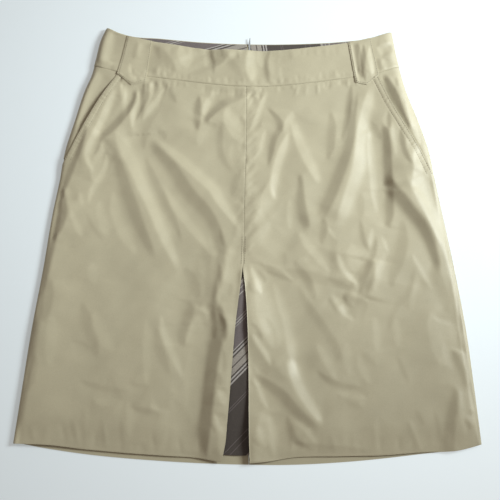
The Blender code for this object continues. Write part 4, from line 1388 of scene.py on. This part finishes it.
def waist_tab(tab, khaki, thread_with_painted_shade):
    top_left, top_right = sorted([tab.top_outer, tab.top_inner])
    low_left, low_right = sorted([tab.low_outer, tab.low_inner])
    ends = sorted([(tab.low_outer, tab.outer_y), (tab.tip, tab.tip_y), (tab.low_inner, tab.inner_y)])
    v, u = np.meshgrid(graded(66, 1.2), graded(36, 1.2), indexing="ij")
    low_x = low_left + (low_right - low_left) * u
    low_y = np.interp(low_x, [end[0] for end in ends], [end[1] for end in ends])
    top_x = top_left + (top_right - top_left) * u
    x = low_x * (1 - v) + top_x * v
    y = low_y * (1 - v) + edge(FRONT_TOP, top_x) * v
    # the rim rounds down to the cloth it lies on
    to_rim = np.minimum(u, 1.0 - u) * (top_right - top_left)
    to_rim = np.minimum(to_rim, v * (edge(FRONT_TOP, top_x) - low_y))
    folds = np.zeros(x.shape)
    for row in TAB_CREASES:
        crease(folds, row, x, y)
    z = tab_mid(x, y) + TAB_LOFT * smooth(0.0, 2.4, to_rim) + folds * smooth(1.0, 6.0, to_rim)
    made = cloth_shell("cloth_tab_" + tab.side, x, y, z, TAB_CLOTH, khaki)
    inset = TAB_STITCH_INSET / (top_right - top_left)
    row = int(np.searchsorted(v[:, 0], TAB_STITCH_INSET / 66.0))
    left = int(np.searchsorted(u[0], inset))
    right = int(np.searchsorted(u[0], 1.0 - inset))
    line = [(x[i, left], y[i, left]) for i in range(len(x) - 1, row, -1)]
    line += [(x[row, j], y[row, j]) for j in range(left, right)]
    line += [(x[i, right], y[i, right]) for i in range(row, len(x))]
    name = "tab_" + tab.side
    sewn = stitches("stitches_" + name, [line], tab_top, thread_with_painted_shade)
    dress(sewn, [name])
    return laid_sheet(made, name)


def zip_tape(tape):
    tip = ZIP_WIDTHS[-1].y
    v, u = np.meshgrid(graded(171, 2.0), graded(5, 0.8, start=(), end=()), indexing="ij")
    y = ZIP_LOW + (tip - ZIP_LOW) * v
    width = np.interp(y, column(ZIP_WIDTHS, "y"), column(ZIP_WIDTHS, "width"))
    x = CENTRE_BACK + ZIP_WIDTH / 2 - 0.6 + (u - 1.0) * width
    z = INNER_BACK_MID + ZIP_TIP_RISE * smooth(ZIP_TURN, tip + 4, y)
    piece, _ = cloth_shell("cloth_zip_tape", x, y, z, TAPE_CLOTH, tape)
    dress(piece, ["zip_tape"])
    return piece


# ---- setting ------------------------------------------------------------------------------
EYE = (0.0034, -0.2198, 0.9801)
EYE_TILT = radians(11.457)
LENS_MM = 54.72
SENSOR_MM = 36.0
WINDOW_PLACE = (1.42, 0.43, 0.96)
WINDOW_AIM = (-0.15, 0.16, 0.0)
WINDOW_SIZE = 0.55
WINDOW_POWER = 5.3
WINDOW_COLOUR = (0.92, 1.0, 1.03)
WINDOW_SPREAD = radians(53)
ROOM_COLOUR = (1.03, 0.90, 0.81, 1.0)
ROOM_STRENGTH = 0.31
FLOOR_HALF = 3.0
FLOOR_PAINTED_LIGHT = 0.40       # the pale ground glows: painted light that lifts the garment's shadow on it, a little brighter to the right, towards the window
FLOOR_PAINTED_LIGHT_RISE = 0.35  # for each metre
FLOOR_PAINTED_LIGHT_COLOUR = (0.925, 1.0, 1.02, 1.0)


def add_camera():
    data = bpy.data.cameras.new("camera")
    data.sensor_width = SENSOR_MM
    data.lens = LENS_MM
    data.clip_start = 0.05
    camera = add_object("camera", data)
    camera.location = EYE
    camera.rotation_euler = (EYE_TILT, 0.0, 0.0)
    bpy.context.scene.camera = camera


def add_window():
    """The one large lamp, a window on the right beyond the waist."""
    data = bpy.data.lights.new("window", "AREA")
    data.shape = "RECTANGLE"
    data.size = WINDOW_SIZE
    data.size_y = WINDOW_SIZE
    data.energy = WINDOW_POWER
    data.color = WINDOW_COLOUR
    data.spread = WINDOW_SPREAD
    aim = add_object("window_aim", None)
    aim.location = WINDOW_AIM
    window = add_object("window", data)
    window.location = WINDOW_PLACE
    follow = window.constraints.new("TRACK_TO")
    follow.target = aim
    follow.track_axis = "TRACK_NEGATIVE_Z"
    follow.up_axis = "UP_Y"


def add_room_light():
    world = bpy.data.worlds.new("studio")
    world.use_nodes = True
    background = world.node_tree.nodes["Background"]
    background.inputs["Color"].default_value = ROOM_COLOUR
    background.inputs["Strength"].default_value = ROOM_STRENGTH
    bpy.context.scene.world = world
    bpy.context.scene.view_settings.view_transform = "Standard"


def add_floor():
    material, tree, shader = new_material("pale_floor")
    place = object_place(tree)
    mottle = noise(tree, place, 40.0, 3.0)
    base = mix_colour(tree, mottle, (0.445, 0.485, 0.50), (0.455, 0.495, 0.515))
    tree.links.new(base, shader.inputs["Base Color"])
    # painted light: the floor's own glow, rising towards the right, stands in for the window's light and
    # lifts the shadows cast on it
    to_right = math_node(tree, "MULTIPLY", axes(tree, place)[0], FLOOR_PAINTED_LIGHT_RISE)
    painted_light = math_node(tree, "ADD", to_right, FLOOR_PAINTED_LIGHT)
    tree.links.new(painted_light, shader.inputs["Emission Strength"])
    shader.inputs["Emission Color"].default_value = FLOOR_PAINTED_LIGHT_COLOUR
    shader.inputs["Roughness"].default_value = 0.9
    shader.inputs["Specular IOR Level"].default_value = 0.2
    corners = [(x * FLOOR_HALF, y * FLOOR_HALF, 0) for x, y in ((-1, -1), (1, -1), (1, 1), (-1, 1))]
    mesh = bpy.data.meshes.new("floor")
    mesh.from_pydata(corners, [], [(0, 1, 2, 3)])
    mesh.materials.append(material)
    add_object("floor", mesh)


def build():
    add_camera()
    add_room_light()
    add_window()
    add_floor()
    khaki = khaki_cloth("khaki_sateen", (0.449, 0.407, 0.280), (0.405, 0.368, 0.253), 0.5)
    striped = striped_cloth("striped_cotton", radians(45), -0.0358)
    striped_left = striped_cloth("striped_cotton_left_facing", radians(17), -0.240)
    striped_right = striped_cloth("striped_cotton_right_facing", radians(99), 0.068)
    tape = tape_cloth()
    # painted shade: the thread's colour is set at about half the cloth's, standing in for the shade in and
    # beside the stitch holes
    thread_with_painted_shade = thread_cotton("khaki_thread_painted_shade", (0.235, 0.205, 0.145))
    facing_back("left", striped_left, [zip_tape(tape)])
    facing_back("right", striped_right)
    for name in ("left", "right"):
        back_panel(name, khaki)
        waist_back(name, khaki)
        shorts_leaf(name, "back", INNER_BACK_MID, striped)
        shorts_leaf(name, "front", INNER_FRONT_MID, striped)
        pocket_facing(name, khaki)
        front_panel(name, khaki, thread_with_painted_shade)
    waist_front(khaki)
    for tab in TABS:
        waist_tab(tab, khaki, thread_with_painted_shade)


build()
